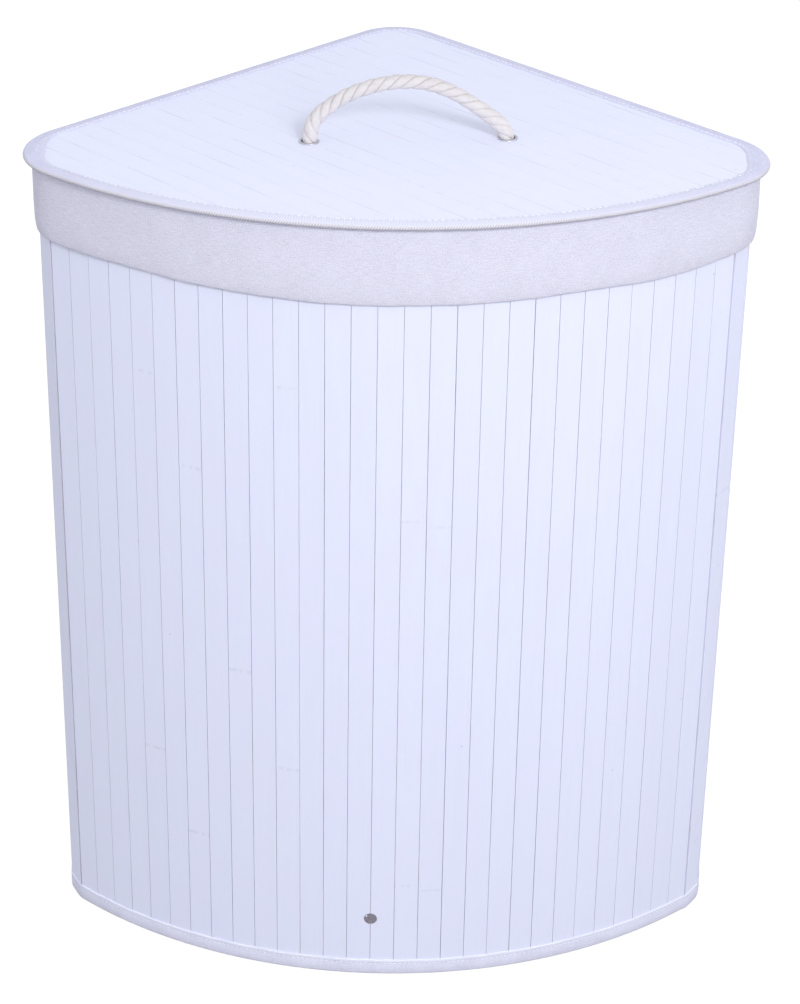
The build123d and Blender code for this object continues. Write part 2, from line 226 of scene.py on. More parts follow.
@dataclass(frozen=True)
class PaintedBamboo:
    """Thin white paint on flat bamboo slats: soft clouds, fine grain, faint joints, rubbed edges."""

    name: str = "painted_bamboo"
    pale: Colour = (0.80, 0.828, 0.995)
    shaded: Colour = (0.70, 0.727, 0.885)
    warm: Colour = (0.80, 0.805, 0.985)
    bare: Colour = (0.40, 0.35, 0.37)
    half_width: float = 8.74 * MM
    worn_width: float = 0.55 * MM
    joint_spacing: float = 0.31
    wear: float = 0.2
    lee: float = 0.34
    joints: float = 0.16
    spread: float = 0.16
    clouds: float = 1.0

    def material(self) -> bpy.types.Material:
        """Builds the finish."""
        tree = Tree(self.name)
        across, along = tree.uv()
        tone = tree.node("ShaderNodeAttribute", {"attribute_name": TONE_NAME}, None, "Fac")
        fine = tree.speckle(tree.vector(across * 1500.0, along * 14.0, tone * 60.0), 1.0, 3.0)
        broad = tree.speckle(tree.vector(across * 220.0, along * 9.0, tone * 90.0), 1.0, 2.0)
        cloud = tree.speckle(tree.vector(across * 60.0, along * 22.0, tone * 70.0), 1.0, 3.0)
        patches = (broad - 0.5) * (0.30 * self.clouds) + (cloud - 0.5) * (0.34 * self.clouds)
        shade = tone * self.spread + (fine - 0.5) * 0.22 + patches
        colour = tree.mix((cloud - 0.42) * (2.2 * self.clouds), tree.mix(shade, self.pale, self.shaded), self.warm)

        cell = (along * (1.0 / self.joint_spacing) + tone * 9.7).math("FRACT")
        ring = 1.0 - (cell - 0.5).math("ABSOLUTE").step(0.001, 0.006)
        chosen = (tone * 17.3).math("FRACT").step(0.70, 0.74)
        broken = tree.speckle(tree.vector(across * 300.0, along * 90.0, tone * 30.0), 1.0)
        joint = ring * chosen * broken.step(0.40, 0.62)
        colour = tree.mix(joint * self.joints, colour, self.bare)

        patchy = tree.speckle(tree.vector(across * 120.0, along * 22.0, tone * 50.0), 1.0, 3.0)
        rim = across.math("ABSOLUTE").step(self.half_width - self.worn_width, self.half_width)
        worn = rim * patchy.step(0.42, 0.72)
        colour = tree.mix(worn * self.wear, colour, self.bare)
        unpainted = across.step(self.half_width - 0.24 * MM, self.half_width - 0.06 * MM)
        colour = tree.mix(unpainted * (0.5 + patchy) * self.lee, colour, self.bare)

        dots = tree.node("ShaderNodeTexVoronoi", None, {"Vector": tree.place(), "Scale": 52.0}, "Distance")
        rare = tree.speckle(tree.place(), 17.0).step(0.62, 0.66)
        colour = tree.mix((1.0 - dots.step(0.03, 0.05)) * rare * 0.4, colour, self.bare)

        relief = fine * 0.4 + broad * 0.8 + joint * 1.6 - worn * 0.6
        return tree.close({
            "Base Color": colour,
            "Roughness": 0.54 + (fine - 0.5) * 0.2 + worn * 0.25,
            "Specular IOR Level": 0.35,
            "Normal": tree.bump(relief, 0.05 * MM),
        })


@dataclass(frozen=True)
class LinenCloth:
    """Plain-woven linen-like cloth: long thin slubs along the weft, shorter ones along the warp, a few dark specks."""

    name: str = "liner_linen"
    pale: Colour = (0.80, 0.796, 0.935)
    dull: Colour = (0.56, 0.55, 0.65)
    speck: Colour = (0.36, 0.33, 0.38)
    thread: float = 0.8 * MM
    slub: float = 6.0 * MM

    def material(self) -> bpy.types.Material:
        """Builds the finish."""
        tree = Tree(self.name)
        along, down = tree.uv()
        fine, long = 1.0 / self.thread, 1.0 / self.slub
        weft = tree.speckle(tree.vector(along * long, down * fine, 3.0), 1.0, 3.0)
        warp = tree.speckle(tree.vector(along * fine, down * (long * 2.4), 8.0), 1.0, 3.0)
        grain = tree.speckle(tree.vector(along * 1150.0, down * 1200.0, 5.0), 1.0, 1.0)
        cloud = tree.speckle(tree.vector(along, down, 0.0), 45.0, 2.0)
        over = (along * (math.pi * fine)).math("SINE") * (down * (math.pi * fine)).math("SINE")
        shade = (weft - 0.5) * 1.0 + (warp - 0.5) * 0.7 + (grain - 0.5) * 1.5 + (cloud - 0.5) * 0.3 + 0.30
        colour = tree.mix(shade, self.pale, self.dull)
        dots = tree.speckle(tree.vector(along * 300.0, down * 700.0, 1.0), 1.0, 1.0).step(0.755, 0.79)
        colour = tree.mix(dots * 0.5, colour, self.speck)
        relief = weft * 0.7 + warp * 0.5 + over * 0.3 + grain * 0.4
        return tree.close({
            "Base Color": colour,
            "Roughness": 0.86 + (weft - 0.5) * 0.2,
            "Sheen Weight": 0.1,
            "Specular IOR Level": 0.25,
            "Normal": tree.bump(relief, 0.2 * MM),
        })


@dataclass(frozen=True)
class RibbedTape:
    """Woven binding tape with fine ribs across it, painted shade in the grooves between the ribs, a paler sewn edge and
    a rubbed, dusty fold.
    """

    name: str = "binding_tape"
    pale: Colour = (0.815, 0.822, 0.975)
    dull: Colour = (0.60, 0.60, 0.75)
    edge: Colour = (0.84, 0.85, 0.98)
    fold: Colour = (0.84, 0.825, 0.87)
    # colour of the painted shade in the rib grooves
    groove: Colour = (0.30, 0.285, 0.32)
    rib: float = 0.9 * MM
    sewn: float = 3.6 * MM

    def material(self) -> bpy.types.Material:
        """Builds the finish."""
        tree = Tree(self.name)
        along, down = tree.uv()
        ribs = (along * (2.0 * math.pi / self.rib)).math("SINE") * 0.5 + 0.5
        picks = tree.speckle(tree.vector(along * 900.0, down * 700.0, 2.0), 1.0, 2.0)
        streak = tree.speckle(tree.vector(along * 60.0, down * 700.0, 5.0), 1.0, 2.0)
        cloud = tree.speckle(tree.vector(along, down, 7.0), 70.0, 3.0)
        shade = 0.16 + (1.0 - ribs) * 0.14 + (picks - 0.5) * 0.9 + (streak - 0.5) * 0.5 + (cloud - 0.5) * 0.7
        colour = tree.mix(shade, self.pale, self.dull)
        hem = (1.0 - down.step(self.sewn * 0.6, self.sewn)) * (0.12 + picks * 0.5)
        colour = tree.mix(hem, colour, self.edge)
        # paler along the front of the lid
        faded = tree.node("ShaderNodeAttribute", {"attribute_name": PALER_AT_FRONT_NAME}, None, "Fac")
        colour = tree.mix(faded * (0.5 + picks * 0.7), colour, self.edge)
        rubbed = tree.node("ShaderNodeAttribute", {"attribute_name": TONE_NAME}, None, "Fac")
        colour = tree.mix(rubbed * (0.45 + picks * 0.7), colour, self.fold)
        # painted shade in the grooves between the ribs, deepest on the rubbed fold
        groove = tree.node("ShaderNodeAttribute", {"attribute_name": GROOVE_SHADE_NAME}, None, "Fac")
        colour = tree.mix(groove * (0.22 + rubbed * 0.6 + (picks - 0.5) * 0.5), colour, self.groove)
        return tree.close({
            "Base Color": colour,
            "Roughness": 0.8 + (picks - 0.5) * 0.2,
            "Sheen Weight": 0.08,
            "Specular IOR Level": 0.3,
            "Normal": tree.bump(ribs * 0.5 + picks * 0.9, 0.14 * MM),
        })


@dataclass(frozen=True)
class BackingCloth:
    """Unbleached cloth glued behind the slats, its colour kept dark to paint the shade seen in the seams between them.
    """

    name: str = "backing_cloth"
    # pale and dull also stand for the painted shade in the slats' seams
    pale: Colour = (0.66, 0.61, 0.65)
    dull: Colour = (0.46, 0.42, 0.45)
    thread: float = 0.8 * MM

    def material(self) -> bpy.types.Material:
        """Builds the finish."""
        tree = Tree(self.name)
        where = tree.place()
        mesh = tree.speckle(where, 1.0 / self.thread, 1.0)
        cloud = tree.speckle(where, 45.0, 3.0)
        shade = (mesh - 0.5) * 1.4 + (cloud - 0.5) * 1.2 + 0.45
        return tree.close({
            "Base Color": tree.mix(shade, self.pale, self.dull),
            "Roughness": 0.9 + (mesh - 0.5) * 0.1,
            "Specular IOR Level": 0.2,
            "Normal": tree.bump(mesh, 0.15 * MM),
        })


@dataclass(frozen=True)
class CottonRope:
    """Soft bleached cotton: fine fibres along the yarns, painted shade in the hollows between the strands."""

    name: str = "cotton_rope"
    pale: Colour = (0.69, 0.66, 0.662)
    dull: Colour = (0.40, 0.365, 0.36)

    def material(self) -> bpy.types.Material:
        """Builds the finish."""
        tree = Tree(self.name)
        along, turn = tree.uv()
        fibre = tree.speckle(tree.vector(along * 420.0, turn * 60.0 - along * 2000.0, 0.0), 1.0, 3.0)
        cloud = tree.speckle(tree.place(), 160.0, 3.0)
        # painted shade in the hollows between the strands, read from the tone layer
        hollow_shade = tree.node("ShaderNodeAttribute", {"attribute_name": TONE_NAME}, None, "Fac")
        shade = (fibre - 0.5) * 1.0 + (cloud - 0.5) * 0.5 + hollow_shade * 0.7 + 0.06
        return tree.close({
            "Base Color": tree.mix(shade, self.pale, self.dull),
            "Roughness": 0.88 + (fibre - 0.5) * 0.15,
            "Sheen Weight": 0.2,
            "Specular IOR Level": 0.2,
            "Normal": tree.bump(fibre * 0.7 + cloud * 0.3, 0.25 * MM),
        })


@dataclass(frozen=True)
class SewingThread:
    """White cotton thread, twisted from two plies."""

    name: str = "sewing_thread"
    pale: Colour = (0.88, 0.89, 0.97)
    dull: Colour = (0.68, 0.69, 0.82)

    def material(self) -> bpy.types.Material:
        """Builds the finish."""
        tree = Tree(self.name)
        fuzz = tree.speckle(tree.place(), 1800.0, 2.0)
        return tree.close({
            "Base Color": tree.mix((fuzz - 0.35) * 1.3, self.pale, self.dull),
            "Roughness": 0.75 + (fuzz - 0.5) * 0.2,
            "Normal": tree.bump(fuzz, 0.1 * MM),
        })


@dataclass(frozen=True)
class WornMetal:
    """Plated or plain metal with rubbed and duller patches, and paint left on it in places."""

    name: str = "nickel"
    bright: Colour = (0.56, 0.56, 0.63)
    dark: Colour = (0.40, 0.40, 0.46)
    rough: float = 0.52
    metallic: float = 0.9
    paint_share: float = 0.0

    def material(self) -> bpy.types.Material:
        """Builds the finish."""
        tree = Tree(self.name)
        where = tree.place()
        patch = tree.speckle(where, 420.0, 4.0)
        fine = tree.speckle(where, 2600.0, 2.0)
        colour = tree.mix((patch - 0.35) * 1.6, self.bright, self.dark)
        metal: Value = self.metallic
        if self.paint_share:
            left = tree.node("ShaderNodeAttribute", {"attribute_name": TONE_NAME}, None, "Fac")
            paint = (left + (patch - 0.5) * 0.8).step(0.55, 0.62) * self.paint_share
            colour = tree.mix(paint, colour, PaintedBamboo.pale)
            metal = (1.0 - paint) * self.metallic
        return tree.close({
            "Base Color": colour,
            "Metallic": metal,
            "Roughness": self.rough + (patch - 0.5) * 0.35 + (fine - 0.5) * 0.1,
            "Normal": tree.bump(patch * 0.6 + fine * 0.4, 0.04 * MM),
        })


@dataclass(frozen=True)
class PaleFloor:
    """A floor that is white to the eye and keeps the soft shadow under the hamper."""

    name: str = "pale_floor"
    albedo: float = 0.18
    own_white: float = 0.77
    seen_albedo: float = 0.34

    def material(self) -> bpy.types.Material:
        """Builds the finish."""
        tree = Tree(self.name)
        matte = tree.node("ShaderNodeBsdfDiffuse", None, {"Color": (self.albedo, self.albedo, self.albedo, 1.0)})
        soft = (self.seen_albedo, self.seen_albedo, self.seen_albedo, 1.0)
        shadow = tree.node("ShaderNodeBsdfDiffuse", None, {"Color": soft})
        glow = tree.node("ShaderNodeEmission", None, {"Strength": self.own_white})
        seen = tree.node("ShaderNodeAddShader", None, {0: shadow, 1: glow})
        tree.out(tree.node("ShaderNodeMixShader", None, {0: looked_at(tree), 1: matte, 2: seen}))
        return tree.material


def looked_at(tree: Tree) -> Socket:
    """Gives 1 for a ray from the camera, a mirror or glass, and 0 for a ray that carries light."""
    path = tree.node("ShaderNodeLightPath", None, None, "Is Camera Ray")
    outputs = path.link.node.outputs
    clear = Socket(tree, outputs["Is Glossy Ray"]).math("MAXIMUM", Socket(tree, outputs["Is Transmission Ray"]))
    return path.math("MAXIMUM", clear)


@dataclass(frozen=True)
class Spot:
    """A place on or near the outline: how far round it is, how far out, and which way is out."""

    distance: float
    out: float
    normal: Vector
    tangent: Vector
    point: Vector


@dataclass(frozen=True)
class Stretch:
    """One arc or straight run of the outline, at the slat faces."""

    name: str
    centre: Vector
    radius: float
    begin: float
    turn: float
    run: float = 0.0

    def length(self, grow: float = 0.0) -> float:
        """Gives the length of the stretch moved out by grow."""
        return (self.radius + grow) * self.turn if self.turn else self.run

    def spot(self, distance: float, grow: float = 0.0) -> tuple[Vector, Vector, Vector]:
        """Gives the point, outward normal and tangent at a distance from the start."""
        angle = self.begin + (distance / (self.radius + grow) if self.turn else 0.0)
        normal = Vector((math.cos(angle), math.sin(angle), 0.0))
        tangent = Vector((-normal.y, normal.x, 0.0))
        if self.turn:
            return self.centre + normal * (self.radius + grow), normal, tangent
        return self.centre + tangent * distance + normal * grow, normal, tangent


@dataclass
class Plan:
    """The outline seen from above: a bowed front, two side corners, two straight back walls and a back corner.

    Distances run from the middle of the front to the right and right round.
    """

    width: float = 495.0 * MM
    depth: float = 371.8 * MM
    back_radius: float = 26.0 * MM
    side_radius: float = 42.3 * MM
    steps_at_once: int = 40
    stretches: list[Stretch] = field(init=False)
    round: float = field(init=False)

    def __post_init__(self) -> None:
        """Works out the arcs and straight runs."""
        front = -self.depth / 2.0
        self.apex = self.depth / 2.0 + self.back_radius * (math.sqrt(2.0) - 1.0)
        back = Vector((0.0, self.apex - math.sqrt(2.0) * self.back_radius, 0.0))
        side_x = self.width / 2.0 - self.side_radius
        self.side = Vector((side_x, self.apex - side_x - math.sqrt(2.0) * self.side_radius, 0.0))
        rise = self.side.y - front
        bow = (side_x**2 + rise**2 - self.side_radius**2) / (2.0 * (rise - self.side_radius))
        self.front = front
        self.front_centre = Vector((0.0, front + bow, 0.0))
        half = math.atan2(side_x, self.front_centre.y - self.side.y)
        corner = math.radians(135.0) - half
        left = Vector((-self.side.x, self.side.y, 0.0))
        slope = Vector((1.0, 1.0, 0.0)).normalized()
        leg_start = self.side + slope * self.side_radius
        leg = (back + slope * self.back_radius - leg_start).length
        left_start = back + Vector((-slope.x, slope.y, 0.0)) * self.back_radius
        quarter = math.radians(45.0)
        self.stretches = [
            Stretch("front", self.front_centre, bow, math.radians(-90.0), half),
            Stretch("right_corner", self.side, self.side_radius, half - math.radians(90.0), corner),
            Stretch("right_back", leg_start, 0.0, quarter, 0.0, leg),
            Stretch("back_corner", back, self.back_radius, quarter, 2.0 * quarter),
            Stretch("left_back", left_start, 0.0, 3.0 * quarter, 0.0, leg),
            Stretch("left_corner", left, self.side_radius, 3.0 * quarter, corner),
            Stretch("front", self.front_centre, bow, math.radians(270.0) - half, half),
        ]
        self.round = self.length()

    def length(self, grow: float = 0.0) -> float:
        """Gives the way right round, moved out by grow."""
        return sum(s.length(grow) for s in self.stretches)

    def walk(self, distance: float, grow: float = 0.0) -> tuple[str, Vector, Vector, Vector]:
        """Finds the place at a distance along the outline.

        Args:
            distance: how far round, at the given grow.
            grow: how far out the outline is moved.

        Returns:
            The stretch's name, the point, the outward normal and the tangent.
        """
        left = distance % self.length(grow)
        for stretch in self.stretches:
            if left <= stretch.length(grow):
                break
            left -= stretch.length(grow)
        return (stretch.name, *stretch.spot(left, grow))

    def locate(self, co: Vector) -> Spot:
        """Finds where a point lies relative to the outline.

        Args:
            co: a point near the outline.

        Returns:
            The spot on the outline that is nearest to it.
        """
        mirror = -1.0 if co.x < 0.0 else 1.0
        at = Vector((abs(co.x), co.y, 0.0))
        front, corner, leg, back = self.stretches[:4]
        turned = math.atan2(at.y - self.side.y, at.x - self.side.x)
        passed = 0.0
        stretch = front
        if turned >= corner.begin:
            passed, stretch = front.length(), corner
            if turned > leg.begin:
                passed, stretch = passed + corner.length(), leg
                _, _, tangent = leg.spot(0.0)
                if (at - leg.centre).dot(tangent) > leg.run:
                    passed, stretch = passed + leg.run, back
        if stretch.turn:
            arm = at - stretch.centre
            local = (math.atan2(arm.y, arm.x) - stretch.begin) * stretch.radius
        else:
            local = (at - stretch.centre).dot(stretch.spot(0.0)[2])
        point, normal, tangent = stretch.spot(local)
        out = (at - point).dot(normal)
        distance = passed + local
        if mirror < 0.0:
            point, normal = (Vector((-v.x, v.y, 0.0)) for v in (point, normal))
            tangent = Vector((tangent.x, -tangent.y, 0.0))
            distance = self.round - distance
        return Spot(distance, out, normal, tangent, point)

    def cornered(self, distance: float) -> float:
        """Gives how near a place is to the middle of a side corner, from 0 outside the corner to 1."""
        front, corner = self.stretches[:2]
        share = (min(distance, self.round - distance) - front.length()) / corner.length()
        return math.sin(math.pi * share) ** 2 if 0.0 < share < 1.0 else 0.0

    def ripple(self, distance: float, height: float, wave: float, rise: float, kind: float = 0.0) -> float:
        """Gives a smooth noise on the wall that meets itself after a full round.

        Args:
            distance: how far round.
            height: height on the wall.
            wave: length of the ripples along the wall.
            rise: height of the ripples.
            kind: picks one noise among many.

        Returns:
            A number between about -1 and 1.
        """
        angle = 2.0 * math.pi * distance / self.round
        ring = self.round / (2.0 * math.pi * wave)
        return noise.noise(Vector((math.cos(angle) * ring + kind, math.sin(angle) * ring, height / rise + kind)))

    def sweep(self, profile: Outline, spacing: float, closed: bool = True, cuts: int = 0) -> BMesh:
        """Carries a profile right round the outline.

        Args:
            profile: points as (how far out, height).
            spacing: longest step along the outline.
            closed: whether the profile is a loop.
            cuts: points added on each edge of the profile.

        Returns:
            The swept mesh, with a vertex layer "down" that runs along the profile.
        """
        made = []
        for stretch in self.stretches:
            parts = max(1, math.ceil(stretch.length() / spacing / self.steps_at_once))
            for part in range(parts):
                made.append(self.sweep_part(stretch, part, parts, profile, spacing, closed, cuts))
        bm = join(made)
        bmesh.ops.remove_doubles(bm, verts=bm.verts, dist=MERGE)
        bmesh.ops.recalc_face_normals(bm, faces=bm.faces)
        return bm

    def sweep_part(
        self, stretch: Stretch, part: int, parts: int, profile: Outline, spacing: float, closed: bool, cuts: int
    ) -> BMesh:
        """Carries a profile along one part of a stretch.

        Args:
            stretch: the arc or straight run.
            part: number of the part.
            parts: how many parts the stretch has.
            profile: points as (how far out, height).
            spacing: longest step along the outline.
            closed: whether the profile is a loop.
            cuts: points added on each edge of the profile.

        Returns:
            The part's mesh.
        """
        bm = bmesh.new()
        down = bm.verts.layers.float.new("down")
        run = stretch.length() / parts
        steps = max(2, math.ceil(run / spacing))
        point, normal, tangent = stretch.spot(run * part)
        row = [bm.verts.new(point + normal * out + UP * height) for out, height in profile]
        for before, vert in zip(row, row[1:]):
            vert[down] = before[down] + (vert.co - before.co).length
        pairs = zip(row, row[1:] + row[:1]) if closed else zip(row, row[1:])
        edges = [bm.edges.new(pair) for pair in pairs]
        if cuts:
            bmesh.ops.subdivide_edges(bm, edges=edges, cuts=cuts)
        geom = list(bm.verts) + list(bm.edges)
        if stretch.turn:
            bmesh.ops.spin(bm, geom=geom, cent=stretch.centre, axis=UP, angle=stretch.turn / parts, steps=steps)
            return bm
        for _ in range(steps):
            geom = extrude_row(bm, [e for e in geom if isinstance(e, BMEdge)])
            bmesh.ops.translate(bm, verts=[v for v in geom if isinstance(v, BMVert)], vec=tangent * run / steps)
        return bm

    def unwrap(self, bm: BMesh) -> None:
        """Maps a swept mesh by the distance round it and the way along its profile, in metres."""
        down = bm.verts.layers.float["down"]
        uv = bm.loops.layers.uv.new(UV_NAME)
        reach = {vert: self.locate(vert.co).distance for vert in bm.verts}
        for face in bm.faces:
            far = max(reach[loop.vert] for loop in face.loops)
            for loop in face.loops:
                along = reach[loop.vert]
                if far - along > self.round / 2.0:
                    along += self.round
                loop[uv].uv = (along, loop.vert[down])

    def slab(self, grow: float, low: float, high: float, spacing: float = 6.0 * MM) -> BMesh:
        """Makes a flat plate with the plan's outline.

        Args:
            grow: how far the edge is moved out.
            low: height of the underside.
            high: height of the top.
            spacing: longest step along the edge.

        Returns:
            The closed plate.
        """
        bm = self.sweep([(grow, low), (grow, high)], spacing, False)
        bmesh.ops.holes_fill(bm, edges=[e for e in bm.edges if e.is_boundary])
        bmesh.ops.recalc_face_normals(bm, faces=bm.faces)
        return bm


def extrude_row(bm: BMesh, edges: Sequence[BMEdge]) -> list:
    """Extrudes a row of edges.

    Args:
        bm: the mesh.
        edges: the row.

    Returns:
        The new row's vertices and edges.
    """
    made = bmesh.ops.extrude_edge_only(bm, edges=edges)["geom"]
    fresh = {v for v in made if isinstance(v, BMVert)}
    row = [e for e in made if isinstance(e, BMEdge) and all(v in fresh for v in e.verts)]
    return list(fresh) + row


def turned(profile: Outline, place: Matrix, steps: int = 48) -> BMesh:
    """Turns a profile about its own upright axis and puts it in place.

    Args:
        profile: points as (radius, height), as a closed section or one that ends on the axis.
        place: where the turned shape goes.
        steps: sides of the turned shape.

    Returns:
        The closed mesh.
    """
    bm = bmesh.new()
    row = [bm.verts.new((radius, 0.0, height)) for radius, height in profile]
    ends_on_axis = profile[0][0] < MERGE and profile[-1][0] < MERGE
    pairs = zip(row, row[1:]) if ends_on_axis else zip(row, row[1:] + row[:1])
    edges = [bm.edges.new(pair) for pair in pairs]
    bmesh.ops.spin(
        bm, geom=row + edges, cent=(0.0, 0.0, 0.0), axis=UP, angle=2.0 * math.pi, steps=steps, use_merge=True
    )
    bmesh.ops.remove_doubles(bm, verts=bm.verts, dist=MERGE)
    bmesh.ops.dissolve_degenerate(bm, edges=bm.edges, dist=MERGE)
    bmesh.ops.recalc_face_normals(bm, faces=bm.faces)
    bmesh.ops.transform(bm, matrix=place, verts=bm.verts)
    return bm


def axes(point: Vector, x: Vector, y: Vector, z: Vector) -> Matrix:
    """Makes the matrix that puts a shape at a point along three directions."""
    return Matrix.Translation(point) @ Matrix((x, y, z)).transposed().to_4x4()


def join(meshes: Iterator[BMesh]) -> BMesh:
    """Joins several meshes to one and frees them."""
    whole = bmesh.new()
    spare = bpy.data.meshes.new("spare")
    for bm in meshes:
        bm.to_mesh(spare)
        bm.free()
        whole.from_mesh(spare)
    bpy.data.meshes.remove(spare)
    return whole


def new_object(name: str, bm: BMesh, material: Optional[bpy.types.Material] = None) -> bpy.types.Object:
    """Makes an object at the origin from a mesh, and frees the mesh."""
    mesh = bpy.data.meshes.new(name)
    bm.to_mesh(mesh)
    bm.free()
    obj = bpy.data.objects.new(name, mesh)
    bpy.context.scene.collection.objects.link(obj)
    if material:
        mesh.materials.append(material)
    return obj


def cut_away(obj: bpy.types.Object, cutter: BMesh) -> None:
    """Cuts a shape out of an object and keeps the result as its mesh.

    Args:
        obj: the object.
        cutter: a closed mesh.
    """
    tool = new_object("cutter", cutter)
    trim = obj.modifiers.new("trim", "BOOLEAN")
    trim.object, trim.operation, trim.solver = tool, "DIFFERENCE", "EXACT"
    graph = bpy.context.evaluated_depsgraph_get()
    cut = bpy.data.meshes.new_from_object(obj.evaluated_get(graph))
    obj.modifiers.clear()
    old, obj.data = obj.data, cut
    cut.name = obj.name
    bpy.data.meshes.remove(old)
    bpy.data.objects.remove(tool)


def set_down(
    obj: bpy.types.Object, body: Body, slot: Slot, replaced: Sequence[str] = (), crease: float = 50.0
) -> bpy.types.Object:
    """Gives a finished piece its shading and its body, and hides the model's nodes that it stands for.

    Args:
        obj: the piece.
        body: the half that it moves with.
        slot: not used.
        replaced: the model's nodes that it stands for.
        crease: angle in degrees above which an edge looks sharp.

    Returns:
        The piece.
    """
    obj.data.shade_smooth()
    obj.data.set_sharp_from_angle(angle=math.radians(crease))
    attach(obj, body.value)
    if replaced:
        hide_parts(*replaced)
    LOG.info("%s: %d faces on the %s", obj.name, len(obj.data.polygons), body.value)
    return obj


@dataclass
class Finishes:
    """Every finish of the hamper, made once."""

    slats: bpy.types.Material = field(default_factory=lambda: PaintedBamboo().material())
    lid_slats: bpy.types.Material = field(
        default_factory=lambda: PaintedBamboo(
            "painted_lid", (0.824, 0.85, 0.998), half_width=8.67 * MM, worn_width=0.4 * MM, wear=0.7, lee=0.35, joints=0.05, spread=0.04,
            clouds=0.3
        ).material()
    )
    linen: bpy.types.Material = field(default_factory=lambda: LinenCloth().material())
    tape: bpy.types.Material = field(default_factory=lambda: RibbedTape().material())
    lid_tape: bpy.types.Material = field(
        default_factory=lambda: RibbedTape("lid_binding_tape", (0.74, 0.748, 0.935), (0.55, 0.555, 0.71)).material()
    )
    backing: bpy.types.Material = field(default_factory=lambda: BackingCloth().material())
    rope: bpy.types.Material = field(default_factory=lambda: CottonRope().material())
    thread: bpy.types.Material = field(default_factory=lambda: SewingThread().material())
    nickel: bpy.types.Material = field(default_factory=lambda: WornMetal().material())
    steel: bpy.types.Material = field(
        default_factory=lambda: WornMetal(
            "dull_steel", (0.24, 0.225, 0.265), (0.165, 0.155, 0.18), 0.55, 0.8, 1.0
        ).material()
    )
    wire: bpy.types.Material = field(
        default_factory=lambda: WornMetal(
            "coated_wire", (0.62, 0.62, 0.64), (0.50, 0.50, 0.52), 0.45, 0.0
        ).material()
    )


@dataclass
class Studio:
    """A pale floor, soft light and a camera that stands where the photograph was taken."""

    eye: Vector = field(default_factory=lambda: Vector((-0.0088, -1.8805, 1.3371)))
    yaw: float = 0.0083
    pitch: float = 0.5018
    roll: float = 0.0172
    lens: float = 100.76
    sensor: float = 36.0
    ambient: float = 0.71
    ambient_tint: Colour = (0.97, 0.985, 1.06)
    key_power: float = 23.0
    top_power: float = 16.0
    left_power: float = 8.2
    right_power: float = 4.2
    back_power: float = 7.0
    floor_radius: float = 8.0

    def camera(self) -> None:
        """Sets up the camera."""
        data = bpy.data.cameras.new("camera")
        data.lens, data.sensor_width, data.sensor_fit = self.lens, self.sensor, "AUTO"
        data.clip_end = 50.0
        ahead = Vector((
            math.sin(self.yaw) * math.cos(self.pitch),
            math.cos(self.yaw) * math.cos(self.pitch),
            -math.sin(self.pitch),
        ))
        right = Vector((math.cos(self.yaw), -math.sin(self.yaw), 0.0))
        above = right.cross(ahead)
        x = right * math.cos(self.roll) + above * math.sin(self.roll)
        y = above * math.cos(self.roll) - right * math.sin(self.roll)
        camera = bpy.data.objects.new("camera", data)
        camera.matrix_world = axes(self.eye, x, y, -ahead)
        bpy.context.scene.collection.objects.link(camera)
        bpy.context.scene.camera = camera

    def floor(self) -> None:
        """Lays the floor under the hamper."""
        bm = bmesh.new()
        below = Matrix.Translation((0.0, 0.0, -0.2 * MM))
        bmesh.ops.create_circle(bm, cap_ends=True, segments=64, radius=self.floor_radius, matrix=below)
        new_object("floor", bm, PaleFloor().material())

    def lamp(self, name: str, place: Colour, aim: Colour, size: float, power: float) -> None:
        """Hangs one large soft lamp.

        Args:
            name: the lamp's name.
            place: where it hangs.
            aim: the point that it faces.
            size: length of its square face.
            power: its power in watts.
        """
        data = bpy.data.lights.new(name, "AREA")
        data.shape, data.size, data.energy = "SQUARE", size, power
        lamp = bpy.data.objects.new(name, data)
        lamp.location = place
        lamp.rotation_euler = (Vector(aim) - Vector(place)).to_track_quat("-Z", "Y").to_euler()
        bpy.context.scene.collection.objects.link(lamp)

    def light(self) -> None:
        """Lights the hamper softly from the front right, with a little from both sides and white all round."""
        world = bpy.data.worlds.new("white_room")
        world.use_nodes = True
        bpy.context.scene.world = world
        nodes, links = world.node_tree.nodes, world.node_tree.links
        path = nodes.new("ShaderNodeLightPath")
        clear = nodes.new("ShaderNodeMath")
        clear.operation = "MAXIMUM"
        links.new(path.outputs["Is Glossy Ray"], clear.inputs[0])
        links.new(path.outputs["Is Transmission Ray"], clear.inputs[1])
        seen = nodes.new("ShaderNodeMath")
        seen.operation = "MAXIMUM"
        links.new(path.outputs["Is Camera Ray"], seen.inputs[0])
        links.new(clear.outputs[0], seen.inputs[1])
        level = nodes.new("ShaderNodeMapRange")
        level.inputs["To Min"].default_value = self.ambient
        level.inputs["To Max"].default_value = 1.0
        links.new(seen.outputs[0], level.inputs["Value"])
        room = nodes["Background"]
        tint = nodes.new("ShaderNodeMix")
        tint.data_type = "RGBA"
        tint.inputs[6].default_value = (*self.ambient_tint, 1.0)
        tint.inputs[7].default_value = (1.0, 1.0, 1.0, 1.0)
        links.new(seen.outputs[0], tint.inputs[0])
        links.new(tint.outputs[2], room.inputs["Color"])
        links.new(level.outputs[0], room.inputs["Strength"])
        self.lamp("key", (1.05, -2.25, 1.75), (0.0, 0.0, 0.35), 1.1, self.key_power)
        self.lamp("top", (0.7, -2.17, 1.98), (0.0, -0.05, 0.6), 0.4, self.top_power)
        self.lamp("left", (-1.75, -1.4, 0.6), (-0.1, 0.0, 0.4), 1.4, self.left_power)
        for name, side in (("back_left", -1.4), ("back_right", 1.4)):
            self.lamp(name, (side, 1.9, 0.5), (0.0, 0.0, 0.3), 1.2, self.back_power)
        self.lamp("right", (1.75, -1.4, 0.6), (0.1, 0.0, 0.4), 1.4, self.right_power)

    def build(self) -> None:
        """Sets up everything around the hamper."""
        bpy.context.scene.view_settings.view_transform = "Standard"
        self.camera()
        self.floor()
        self.light()


